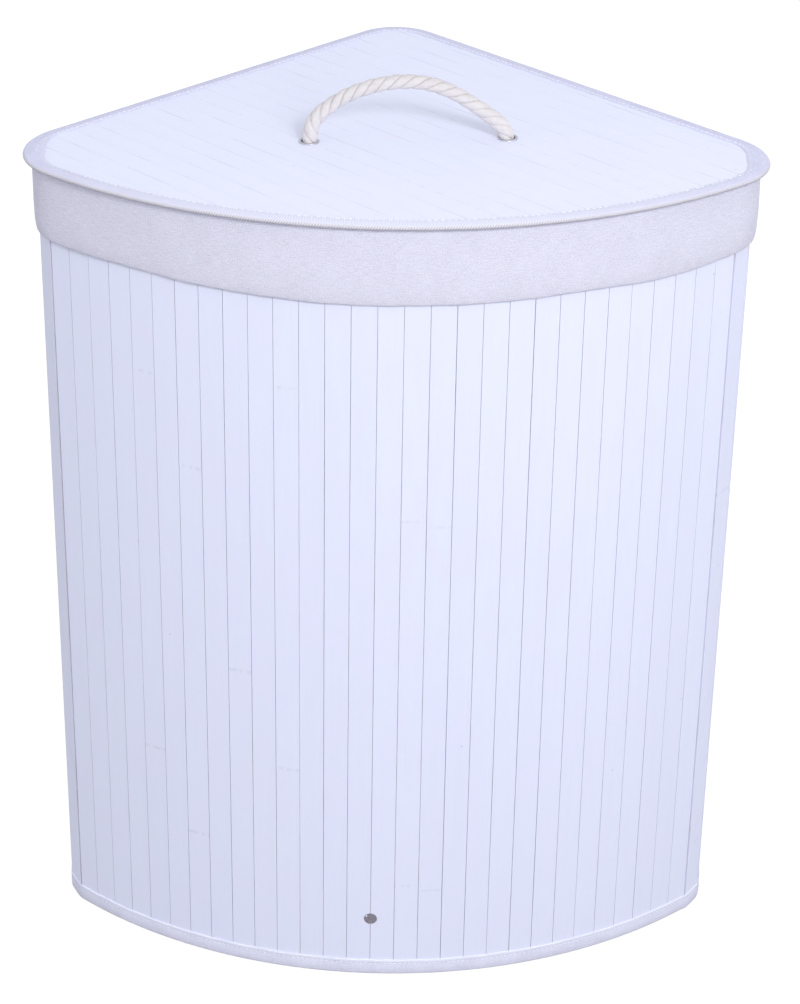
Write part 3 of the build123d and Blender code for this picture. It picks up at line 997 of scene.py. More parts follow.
@dataclass
class Route:
    """The smooth centreline of a rope, held by a few control points."""

    points: Sequence[Vector]
    fineness: int = 24

    def line(self) -> list[Vector]:
        """Reads the centreline from the spline of the control points."""
        curve = bpy.data.curves.new("route", "CURVE")
        curve.dimensions, curve.resolution_u = "3D", self.fineness
        spline = curve.splines.new("NURBS")
        spline.points.add(len(self.points) - 1)
        for knot, point in zip(spline.points, self.points):
            knot.co = (*point, 1.0)
        spline.order_u = 3
        spline.use_endpoint_u = True
        holder = bpy.data.objects.new("route", curve)
        mesh = bpy.data.meshes.new_from_object(holder)
        line = [vert.co.copy() for vert in mesh.vertices]
        bpy.data.objects.remove(holder)
        bpy.data.curves.remove(curve)
        bpy.data.meshes.remove(mesh)
        return line


@dataclass
class LaidRope:
    """Cotton rope laid from three strands to the left, each strand of a few yarns that turn to the right."""

    diameter: float = 9.4 * MM
    strands: int = 3
    lay: float = 28.0 * MM
    arm: float = 0.26
    thick: float = 0.245
    broad: float = 0.33
    sides: int = 28
    yarns: int = 7
    yarn_lay: float = 18.0 * MM
    yarn_depth: float = 0.09 * MM

    def frames(self, line: Sequence[Vector]) -> list[Matrix]:
        """Carries a cross-section frame along a line without twisting it."""
        made = []
        side = Vector((0.0, 0.0, 1.0))
        for index, point in enumerate(line):
            ahead = line[min(index + 1, len(line) - 1)] - line[max(index - 1, 0)]
            ahead.normalize()
            if abs(side.dot(ahead)) > 0.9:
                side = ahead.orthogonal()
            side = (side - ahead * side.dot(ahead)).normalized()
            made.append(axes(point, side, ahead.cross(side), ahead))
        return made

    def along(self, line: Sequence[Vector]) -> BMesh:
        """Lays the rope along a line.

        Args:
            line: close points of the centreline.

        Returns:
            The strands, closed at both ends.
        """
        places = self.frames(line)
        bm = join(self.strand(line, places, number / self.strands) for number in range(self.strands))
        bmesh.ops.recalc_face_normals(bm, faces=bm.faces)
        bm.normal_update()
        self.roughen(bm)
        self.unwrap(bm)
        return bm

    def strand(self, line: Sequence[Vector], places: Sequence[Matrix], share: float) -> BMesh:
        """Winds one strand round the centreline.

        Args:
            line: close points of the centreline.
            places: the cross-section frames at those points.
            share: where round the rope the strand begins, as a share of a turn.

        Returns:
            The strand, closed at both ends.
        """
        bm = bmesh.new()
        run = bm.verts.layers.float.new("run")
        turn = bm.verts.layers.float.new("turn")
        tone = bm.verts.layers.float.new(TONE_NAME)
        gone, last, edges = 0.0, None, []
        for index, place in enumerate(places):
            gone += (line[index] - line[index - 1]).length if index else 0.0
            angle = 2.0 * math.pi * (share - gone / self.lay)
            here = place @ Matrix.Rotation(angle, 4, "Z") @ Matrix.Translation((self.diameter * self.arm, 0.0, 0.0))
            if last is None:
                section = Matrix.Diagonal((self.diameter * self.thick, self.diameter * self.broad, 1.0, 1.0))
                row = bmesh.ops.create_circle(
                    bm, cap_ends=True, segments=self.sides, radius=1.0, matrix=here @ section
                )["verts"]
                for number, vert in enumerate(row):
                    vert[turn] = number / self.sides
                edges = list(bm.edges)
            else:
                fresh = extrude_row(bm, edges)
                row = [v for v in fresh if isinstance(v, BMVert)]
                edges = [e for e in fresh if isinstance(e, BMEdge)]
                bmesh.ops.transform(bm, matrix=here @ last.inverted(), verts=row)
            for vert in row:
                vert[run] = gone
                # tone here is painted shade: 1 in the hollows near the rope's middle, 0 out on the strands
                reach = (vert.co - place.translation).length
                vert[tone] = 1.0 - min(1.0, max(0.0, (reach / self.diameter - 0.37) / 0.08))
            last = here
        bmesh.ops.contextual_create(bm, geom=edges)
        return bm

    def roughen(self, bm: BMesh) -> None:
        """Raises the yarns on the strands, with a little unevenness."""
        run, turn = bm.verts.layers.float["run"], bm.verts.layers.float["turn"]
        moves = []
        for vert in bm.verts:
            phase = self.yarns * 2.0 * math.pi * (vert[turn] - vert[run] / self.yarn_lay)
            uneven = noise.noise(vert.co * 260.0) * 1.1 + noise.noise(vert.co * 900.0) * 0.6
            moves.append((math.cos(phase) + uneven) * self.yarn_depth)
        for vert, move in zip(bm.verts, moves):
            vert.co += vert.normal * move

    def unwrap(self, bm: BMesh) -> None:
        """Maps each strand by the way along it in metres and the turn round it."""
        run, turn = bm.verts.layers.float["run"], bm.verts.layers.float["turn"]
        uv = bm.loops.layers.uv.new(UV_NAME)
        for face in bm.faces:
            most = max(loop.vert[turn] for loop in face.loops)
            for loop in face.loops:
                part = loop.vert[turn]
                loop[uv].uv = (loop.vert[run], part + 1.0 if most - part > 0.5 else part)


@dataclass
class RopeHandle:
    """The rope handle: an arch through two eyelets in the lid, with a stopper knot under each."""

    finishes: Finishes
    rope: LaidRope = field(default_factory=LaidRope)
    middle: Vector = field(default_factory=lambda: Vector((8.1, -41.1, 616.1)) * MM)
    turn: float = math.radians(5.0)
    spacing: float = 139.0 * MM
    length: float = 0.199
    swell: Outline = ((-12.0, 0.0), (-2.0, 0.5), (0.9, 0.55), (4.5, 1.05), (12.0, 0.95), (30.0, 0.35))
    knot_rope: float = 8.0 * MM
    knot_arm: float = 8.2 * MM
    knot_turns: float = 1.3
    knot_points_a_turn: int = 12
    arch: Outline = (
        (-69.4, -12.0), (-69.4, 2.0), (-66.9, 15.0), (-57.5, 25.0), (-40.0, 35.5), (-18.0, 42.2), (6.0, 43.2),
        (26.0, 37.2), (46.0, 25.2), (65.2, 10.3), (69.7, 0.1), (69.7, -12.0),
    )

    def at(self, along: float, above: float) -> Vector:
        """Gives the point at a way along the eyelet line and a height above the lid."""
        return self.middle + Vector((math.cos(self.turn) * along, math.sin(self.turn) * along, above))

    def swollen(self, above: float) -> float:
        """Gives how much the rope swells at a height above the lid, both in millimetres."""
        for (low, less), (high, more) in zip(self.swell, self.swell[1:]):
            if above < high:
                share = max(0.0, (above - low) / (high - low))
                return less + (more - less) * share * share * (3.0 - 2.0 * share)
        return self.swell[-1][1]

    def feet(self) -> list[Vector]:
        """Gives the middles of the two eyelets at the lid's top."""
        return [self.at(side * self.spacing / 2.0, 0.0) for side in (-1.0, 1.0)]

    def knot(self, foot: Vector, start: float) -> list[BMesh]:
        """Ties one stopper knot.

        Args:
            foot: middle of the eyelet.
            start: angle at which the wrap begins.

        Returns:
            The standing part with its cut end, and the wrap round it.
        """
        low, high = (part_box("rope_knots")[side][2] for side in (0, 1))
        axis = Vector((foot.x, foot.y, 0.0))
        stock = LaidRope(self.knot_rope, lay=24.0 * MM)
        core = [axis + UP * z for z in (high + 2.0 * MM, high - 6.0 * MM, low + 6.0 * MM, low - 4.0 * MM)]
        wrap = [axis + UP * (low + 9.0 * MM)]
        count = int(self.knot_turns * self.knot_points_a_turn) + 1
        for index in range(count):
            angle = start + 2.0 * math.pi * index / self.knot_points_a_turn
            height = low + self.knot_rope / 2.0 + (high - low - self.knot_rope) * index / (count - 1)
            wrap.append(axis + Vector((math.cos(angle), math.sin(angle), 0.0)) * self.knot_arm + UP * height)
        wrap.append(axis + UP * (high - 7.0 * MM))
        return [stock.along(Route(points, 6).line()) for points in (core, wrap)]

    def eyelet(self, foot: Vector) -> BMesh:
        """Turns one eyelet: a rolled flange on the lid and a barrel that goes through it."""
        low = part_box("eyelets")[0][2] - foot.z
        inner, outer, flange = 5.45 * MM, 5.95 * MM, 7.55 * MM
        section = [
            (inner, low), (inner, 0.1 * MM), (inner + 0.15 * MM, 0.6 * MM), (inner + 0.55 * MM, 0.93 * MM),
            (inner + 1.05 * MM, 1.0 * MM), (inner + 1.55 * MM, 0.84 * MM), (flange - 0.12 * MM, 0.5 * MM),
            (flange, 0.16 * MM), (flange - 0.1 * MM, 0.02 * MM), (outer, 0.02 * MM), (outer, low),
        ]
        return turned(section, Matrix.Translation(foot))

    def washer(self, foot: Vector) -> BMesh:
        """Turns the washer under one eyelet, with the barrel's end rolled over it."""
        low, high = (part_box("eyelet_washers")[side][2] for side in (0, 1))
        inner, wide, ease = 6.0 * MM, 8.1 * MM, 0.2 * MM
        section = [
            (inner, high), (inner, low + ease), (inner + ease, low), (wide - ease, low),
            (wide, low + ease), (wide, high - ease), (wide - ease, high),
        ]
        return turned(section, Matrix.Translation((foot.x, foot.y, 0.0)))

    def build(self) -> list[Vector]:
        """Makes rope, knots and eyelets, and gives the eyelets' middles."""
        line = Route([self.at(along * MM, above * MM) for along, above in self.arch]).line()
        bm = self.rope.along(line)
        bm.normal_update()
        for vert in bm.verts:
            vert.co += vert.normal * self.swollen((vert.co.z - self.middle.z) / MM) * MM
        handle = new_object("handle_rope", bm, self.finishes.rope)
        set_down(handle, Body.LID, Slot.ROPE, ["rope_handle"], 80.0)
        feet = self.feet()
        ties = [part for foot, start in zip(feet, (0.6, 2.4)) for part in self.knot(foot, start)]
        knots = new_object("handle_knots", join(ties), self.finishes.rope)
        set_down(knots, Body.LID, Slot.ROPE, ["rope_knots"], 80.0)
        tuple(feet[0])
        [tuple(point) for point in line]
        rings = new_object("handle_eyelets", join(self.eyelet(foot) for foot in feet), self.finishes.nickel)
        set_down(rings, Body.LID, Slot.NICKEL, ["eyelets"])
        washers = new_object("eyelet_rings", join(self.washer(foot) for foot in feet), self.finishes.nickel)
        set_down(washers, Body.LID, Slot.NICKEL, ["eyelet_washers"])
        return feet


@dataclass
class SlatStock:
    """The flat bamboo strip that the wall, the lid and the base are made of."""

    width: float = 17.35 * MM
    uneven: float = 0.12 * MM
    thickness: float = 2.2 * MM
    ease: float = 0.22 * MM
    bow: float = 0.10 * MM
    sway: float = 0.07 * MM
    cuts: int = 11
    seed: int = 11

    def draw(self, number: int) -> random.Random:
        """Gives the chances of one slat."""
        return random.Random(self.seed * 1000 + number)

    def tint(self, bm: BMesh, number: int) -> None:
        """Gives a slat its own tone."""
        tone = bm.verts.layers.float.new(TONE_NAME)
        share = self.draw(number).random()
        for vert in bm.verts:
            vert[tone] = share

    def board(self, number: int, length: float) -> BMesh:
        """Makes one wall slat, upright on its lower end, with its back in the plane y = 0.

        Args:
            number: number of the slat.
            length: length of the slat.

        Returns:
            The slat, mapped across and along in metres.
        """
        bm = bmesh.new()
        chance = self.draw(number)
        lean, bulge, wide = chance.uniform(-1.0, 1.0), chance.uniform(0.3, 1.0), chance.uniform(-0.5, 1.0)
        size = Matrix.Diagonal((self.width + wide * self.uneven, self.thickness, length, 1.0))
        middle = Matrix.Translation((0.0, -self.thickness / 2.0, length / 2.0))
        bmesh.ops.create_cube(bm, size=1.0, matrix=middle @ size)
        upright = [e for e in bm.edges if abs(e.verts[0].co.z - e.verts[1].co.z) > length / 2.0]
        outer = [e for e in upright if e.verts[0].co.y < -self.thickness / 2.0]
        bmesh.ops.bevel(
            bm, geom=outer, offset=self.ease, segments=2, profile=0.5, affect="EDGES", material=-1
        )
        upright = [e for e in bm.edges if abs(e.verts[0].co.z - e.verts[1].co.z) > length / 2.0]
        bmesh.ops.subdivide_edges(bm, edges=upright, cuts=self.cuts, use_grid_fill=True)
        uv = bm.loops.layers.uv.new(UV_NAME)
        for face in bm.faces:
            for loop in face.loops:
                loop[uv].uv = (loop.vert.co.x, loop.vert.co.z)
        for vert in bm.verts:
            share = vert.co.z / length
            vert.co.x += noise.noise(Vector((number * 3.7, share * 3.1, 0.5))) * self.sway
            vert.co.y -= noise.noise(Vector((number * 5.3, share * 2.3, 4.5))) * self.bow * bulge
            vert.co.y += lean * 0.05 * MM * vert.co.x / self.width
        self.tint(bm, number)
        return bm


@dataclass
class SlatPanel:
    """A flat slatted panel cut to the plan's outline; its slats run along the right back wall."""

    plan: Plan
    stock: SlatStock
    gap: float = 0.05 * MM
    first_seam: float = 7.5 * MM
    settle: float = 0.02 * MM
    tilt: float = 0.001
    ease: float = 0.12 * MM
    number: int = 200

    def strips(self, grow: float, low: float, high: float, eased: bool) -> BMesh:
        """Cuts a plate into slats.

        Args:
            grow: how far the panel's edge is moved out.
            low: height of the underside.
            high: height of the top.
            eased: whether the top edges along the seams are rounded.

        Returns:
            The slats.
        """
        across = Vector((1.0, 1.0, 0.0)).normalized()
        along = Vector((-1.0, 1.0, 0.0)).normalized()
        start = Vector((0.0, self.plan.apex, 0.0))
        pitch = self.stock.width + self.gap
        plate = self.plan.slab(grow, low, high)
        reach = [(vert.co - start).dot(across) for vert in plate.verts]
        first = math.ceil((max(reach) + self.first_seam) / pitch)
        last = math.floor((min(reach) + self.first_seam) / pitch)
        made = []
        for index in range(first, last, -1):
            right = index * pitch - self.first_seam - self.gap / 2.0
            left = right - self.stock.width
            bm = plate.copy()
            for edge, facing in ((right, across), (left, -across)):
                bmesh.ops.bisect_plane(
                    bm, geom=list(bm.verts) + list(bm.edges) + list(bm.faces), dist=MERGE,
                    plane_co=start + across * edge, plane_no=facing, clear_outer=True,
                )
                bmesh.ops.holes_fill(bm, edges=[e for e in bm.edges if e.is_boundary])
            if len(bm.verts) < 6:
                bm.free()
                continue
            if eased:
                self.ease_seams(bm, high, along)
            self.settle_slat(bm, self.number - index, start + across * (left + right) / 2.0, across, along)
            made.append(bm)
        plate.free()
        return join(made)

    def ease_seams(self, bm: BMesh, high: float, along: Vector) -> None:
        """Rounds the top edges that run along the seams."""
        edges = []
        for edge in bm.edges:
            way = edge.verts[1].co - edge.verts[0].co
            level = all(abs(v.co.z - high) < MERGE for v in edge.verts)
            if level and way.length > 8.0 * MM and abs(way.normalized().dot(along)) > 0.9999:
                edges.append(edge)
        bmesh.ops.bevel(
            bm, geom=edges, offset=self.ease, segments=2, profile=0.5, affect="EDGES", material=-1
        )

    def settle_slat(self, bm: BMesh, number: int, middle: Vector, across: Vector, along: Vector) -> None:
        """Maps a slat across and along, and lets it lie a hair lower or tilted.

        Args:
            bm: the slat.
            number: number of the slat.
            middle: a point on its middle line.
            across: direction across the panel's slats.
            along: direction along them.
        """
        bmesh.ops.recalc_face_normals(bm, faces=bm.faces)
        uv = bm.loops.layers.uv.new(UV_NAME)
        for face in bm.faces:
            for loop in face.loops:
                arm = loop.vert.co - middle
                loop[uv].uv = (arm.dot(across), arm.dot(along))
        chance = self.stock.draw(number)
        drop, tilt = chance.random() * self.settle, chance.uniform(-self.tilt, self.tilt)
        for vert in bm.verts:
            vert.co.z += (vert.co - middle).dot(across) * tilt - drop
        self.stock.tint(bm, number)


@dataclass
class Sewing:
    """A row of machine stitches: short threads, each sunk at both ends."""

    finishes: Finishes
    stitch: float = 3.0 * MM
    pitch: float = 4.3 * MM
    thread: float = 0.34 * MM
    seed: int = 3
    stray: float = 0.08

    def row(self, plan: Plan, out: float, height: float, facing: str, name: str, body: Body) -> bpy.types.Object:
        """Sews a row right round the hamper.

        Args:
            plan: the outline that the row follows.
            out: how far out from the outline the row lies.
            height: height of the row.
            facing: "up", "down", "out" or "in", the side that the thread lies on.
            name: name of the piece.
            body: the half that carries the row.

        Returns:
            The row of stitches.
        """
        chance = random.Random(self.seed + len(name))
        total = plan.length(out)
        count = round(total / self.pitch)
        made = []
        for index in range(count):
            spot = (index + chance.uniform(-0.07, 0.07)) * total / count
            _, point, normal, tangent = plan.walk(spot, out)
            turn = Matrix.Rotation(chance.uniform(-self.stray, self.stray), 3, {"out": normal, "in": normal}.get(facing, UP))
            ahead = turn @ tangent
            face = {"up": UP, "down": -UP, "out": normal, "in": -normal}[facing]
            place = axes(point + UP * (height + chance.uniform(-0.15, 0.15) * MM), ahead, face.cross(ahead), face)
            size = Matrix.Diagonal((self.stitch / 2.0 * chance.uniform(0.85, 1.1), self.thread, self.thread, 1.0))
            bm = bmesh.new()
            bmesh.ops.create_uvsphere(bm, u_segments=8, v_segments=5, radius=1.0, matrix=place @ size)
            made.append(bm)
        return set_down(new_object(name, join(made), self.finishes.thread), body, Slot.TAPE)


@dataclass
class Wall:
    """The slatted wall on its cloth, bound at the rim and the foot, with one rivet low on the front seam."""

    plan: Plan
    finishes: Finishes
    stock: SlatStock
    gap: float = 0.05 * MM
    seam_shift: float = 11.5 * MM
    cloth: float = 0.6 * MM
    tape: float = 0.8 * MM
    tape_ease: float = 0.1 * MM
    seam_dent: float = 0.2 * MM
    seam_reach: float = 1.1 * MM
    foot_rise: float = 13.0 * MM
    foot_lip: float = 14.8 * MM
    rivet_height: float = 51.0 * MM
    rivet_head: float = 4.85 * MM
    rivet_head_depth: float = 1.2 * MM

    def pitch(self) -> float:
        """Gives the spacing of the slats along the cloth."""
        total = self.plan.length(-self.stock.thickness)
        return total / int(total // (self.stock.width + self.gap))

    def stand(self, distance: float) -> tuple[str, Matrix]:
        """Gives the stretch and the place of a slat's back at a distance along the cloth."""
        name, point, normal, tangent = self.plan.walk(distance, -self.stock.thickness)
        return name, axes(point, tangent, -normal, UP)

    def slats(self) -> None:
        """Stands the slats side by side round the cloth, one piece for each part of the wall."""
        low, high = (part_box("front_slats")[side][2] for side in (0, 1))
        pitch = self.pitch()
        groups: dict[str, list[BMesh]] = {}
        for number in range(round(self.plan.length(-self.stock.thickness) / pitch)):
            name, place = self.stand((number + 0.5) * pitch - self.seam_shift)
            board = self.stock.board(number, high - low)
            bmesh.ops.transform(board, matrix=Matrix.Translation((0.0, 0.0, low)) @ place, verts=board.verts)
            groups.setdefault(name, []).append(board)
        for name, boards in groups.items():
            obj = new_object(name + "_boards", join(boards), self.finishes.slats)
            if name == "front":
                cut_away(obj, self.rivet_hole())
            set_down(obj, Body.BASKET, Slot.SLATS, [name + "_slats"], 12.0)

    def rivet_place(self) -> Matrix:
        """Gives the rivet's place: its middle on the slat faces, its axis outwards."""
        name, place = self.stand(-self.seam_shift)
        outward = place.to_3x3() @ Vector((0.0, -1.0, 0.0))
        point = Vector((*(place.translation + outward * self.stock.thickness).xy, self.rivet_height))
        return axes(point, place.to_3x3() @ Vector((1.0, 0.0, 0.0)), UP, outward)

    def rivet_hole(self) -> BMesh:
        """Turns the shape that is bored out of the slats for the rivet."""
        wide, narrow = self.rivet_head + 0.05 * MM, 2.15 * MM
        section = [
            (0.0, 2.0 * MM), (wide, 2.0 * MM), (wide, -self.rivet_head_depth - 0.1 * MM),
            (narrow, -self.rivet_head_depth - 0.1 * MM), (narrow, -6.0 * MM), (0.0, -6.0 * MM),
        ]
        return turned(section, self.rivet_place())

    def rivet(self) -> None:
        """Turns the rivet, with a worn flat head, and the washer behind the cloth."""
        wide, deep, shank = self.rivet_head, self.rivet_head_depth, 2.0 * MM
        tail = -(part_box("front_rivet")[1][1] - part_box("front_rivet")[0][1])
        section = [
            (0.0, -0.06 * MM), (wide * 0.5, -0.03 * MM), (wide - 0.5 * MM, 0.0), (wide - 0.18 * MM, -0.08 * MM),
            (wide, -0.4 * MM), (wide, -deep), (shank, -deep), (shank, tail), (0.0, tail),
        ]
        bm = turned(section, self.rivet_place(), 64)
        centre = self.rivet_place()
        chip = centre @ Vector((-0.62 * wide, 0.5 * wide, 0.0))
        tone = bm.verts.layers.float.new(TONE_NAME)
        bmesh.ops.subdivide_edges(bm, edges=bm.edges, cuts=2, use_grid_fill=True)
        for vert in bm.verts:
            vert[tone] = 1.0 - min(1.0, (vert.co - chip).length / (0.42 * wide))
            vert.co += centre.to_3x3() @ UP * noise.noise(vert.co * 500.0) * 0.03 * MM
        set_down(new_object("seam_rivet", bm, self.finishes.steel), Body.BASKET, Slot.STEEL, ["front_rivet"], 35.0)
        low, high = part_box("rivet_washer")
        back, near, far = centre.translation, 5.5 * MM, 2.1 * MM
        inner, outer = low[1] - back.y, high[1] - back.y
        section = [
            (far, -outer), (near - 0.2 * MM, -outer), (near, -outer + 0.2 * MM),
            (near, -inner - 0.2 * MM), (near - 0.2 * MM, -inner), (far, -inner),
        ]
        washer = new_object("rivet_ring", turned(section, centre), self.finishes.steel)
        set_down(washer, Body.BASKET, Slot.STEEL, ["rivet_washer"], 35.0)

    def facets(self, distance: float) -> float:
        """Gives how far a taut tape stands out over the flat slats at a place, from the slat faces.

        Args:
            distance: how far round, at the slat faces.

        Returns:
            The extra way out of the slat's edges on a bend.
        """
        name, point, _, _ = self.plan.walk(distance)
        bends = {"front": self.plan.stretches[0], "back_corner": self.plan.stretches[3]}
        bend = bends.get(name, self.plan.stretches[1])
        if name.endswith("_back"):
            return 0.0
        scale = self.plan.length(-self.stock.thickness) / self.plan.round
        from_middle = ((distance * scale + self.seam_shift) / self.pitch()) % 1.0 - 0.5
        side = from_middle * self.stock.width
        seam = (0.5 - abs(from_middle)) * self.stock.width
        return math.hypot(bend.radius, side) - bend.radius - self.seam_dent * math.exp(-((seam / self.seam_reach) ** 2))

    def foot(self) -> None:
        """Binds the lower edge with tape, turned under the base and sewn near its top edge."""
        out, tape, rise = self.tape_ease, self.tape, self.foot_rise
        lip = -self.foot_lip
        profile = [
            (out, rise - 0.1 * MM), (out + tape * 0.6, rise), (out + tape, rise - 0.5 * MM),
            (out + tape, rise - 2.4 * MM), (out + tape * 0.72, rise - 3.3 * MM), (out + tape, rise - 4.2 * MM),
            (out + tape, 5.0 * MM), (out + tape, 1.2 * MM), (out + tape * 0.6, 0.35 * MM), (0.0, 0.0),
            (lip * 0.5, 0.0), (lip, 0.05 * MM), (lip, tape * 0.85), (lip * 0.5, tape * 0.9),
            (-0.3 * MM, tape * 0.95), (out, tape + 0.4 * MM),
        ]
        bm = self.plan.sweep(profile, 1.2 * MM)
        for vert in bm.verts:
            spot = self.plan.locate(vert.co)
            if spot.out < -1.0 * MM:
                continue
            high = vert.co.z / rise
            push = self.facets(spot.distance) * 0.75
            push += self.plan.ripple(spot.distance, vert.co.z, 9.0 * MM, 6.0 * MM) * 0.10 * MM * high
            vert.co += spot.normal * push
            lift = self.plan.ripple(spot.distance, 0.0, 14.0 * MM, 1.0, 5.0) * 0.45 * MM
            lift += self.plan.ripple(spot.distance, 0.0, 4.0 * MM, 1.0, 9.0) * 0.25 * MM
            vert.co.z += lift * max(0.0, high - 0.6) / 0.4
        self.plan.unwrap(bm)
        tape_piece = new_object("foot_tape", bm, self.finishes.tape)
        set_down(tape_piece, Body.BASKET, Slot.TAPE, ["foot_binding"], 70.0)

    def hidden_layers(self) -> None:
        """Makes the cloth behind the slats and the tape over their tops, both under the liner."""
        low, high = (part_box("wall_backing")[side][2] for side in (0, 1))
        face = -self.stock.thickness
        section = [(face, low), (face, high), (face - self.cloth, high), (face - self.cloth, low)]
        bm = self.plan.sweep(section, 4.0 * MM)
        cloth = new_object("wall_cloth", bm, self.finishes.backing)
        set_down(cloth, Body.BASKET, Slot.BACKING, ["wall_backing"])
        low, high = (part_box("rim_binding")[side][2] for side in (0, 1))
        inner, tape = face - self.cloth - self.tape_ease, self.tape
        arch = [
            (self.tape_ease, low), (self.tape_ease + tape, low), (self.tape_ease + tape, high - 2.2 * MM),
            (-0.2 * MM, high - 0.3 * MM), (-1.4 * MM, high), (-2.6 * MM, high - 0.3 * MM),
            (inner - tape, high - 2.2 * MM), (inner - tape, low), (inner, low), (inner, high - 2.6 * MM),
            (-1.4 * MM, high - tape), (self.tape_ease, high - 2.6 * MM),
        ]
        bm = self.plan.sweep(arch, 4.0 * MM)
        self.plan.unwrap(bm)
        set_down(new_object("rim_tape", bm, self.finishes.tape), Body.BASKET, Slot.TAPE, ["rim_binding"])

    def base(self) -> None:
        """Makes the slatted base on its cloth."""
        low, high = (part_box("base_slats")[side][2] for side in (0, 1))
        grow = -(self.plan.width / 2.0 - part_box("base_slats")[1][0])
        panel = SlatPanel(self.plan, self.stock, number=400, settle=0.0)
        obj = new_object("base_boards", panel.strips(grow, low, high, False), self.finishes.slats)
        set_down(obj, Body.BASKET, Slot.SLATS, ["base_slats"], 12.0)
        low, high = (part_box("base_backing")[side][2] for side in (0, 1))
        cloth = new_object("base_cloth", self.plan.slab(grow, low, high), self.finishes.backing)
        set_down(cloth, Body.BASKET, Slot.BACKING, ["base_backing"])

    def build(self) -> None:
        """Makes the whole wall and base."""
        self.slats()
        self.rivet()
        self.foot()
        sewing = Sewing(self.finishes, 2.4 * MM, 3.7 * MM, 0.28 * MM, stray=0.35)
        sewing.row(self.plan, self.tape_ease + self.tape * 0.85, 9.7 * MM, "out", "foot_stitches", Body.BASKET)
        self.hidden_layers()
        self.base()


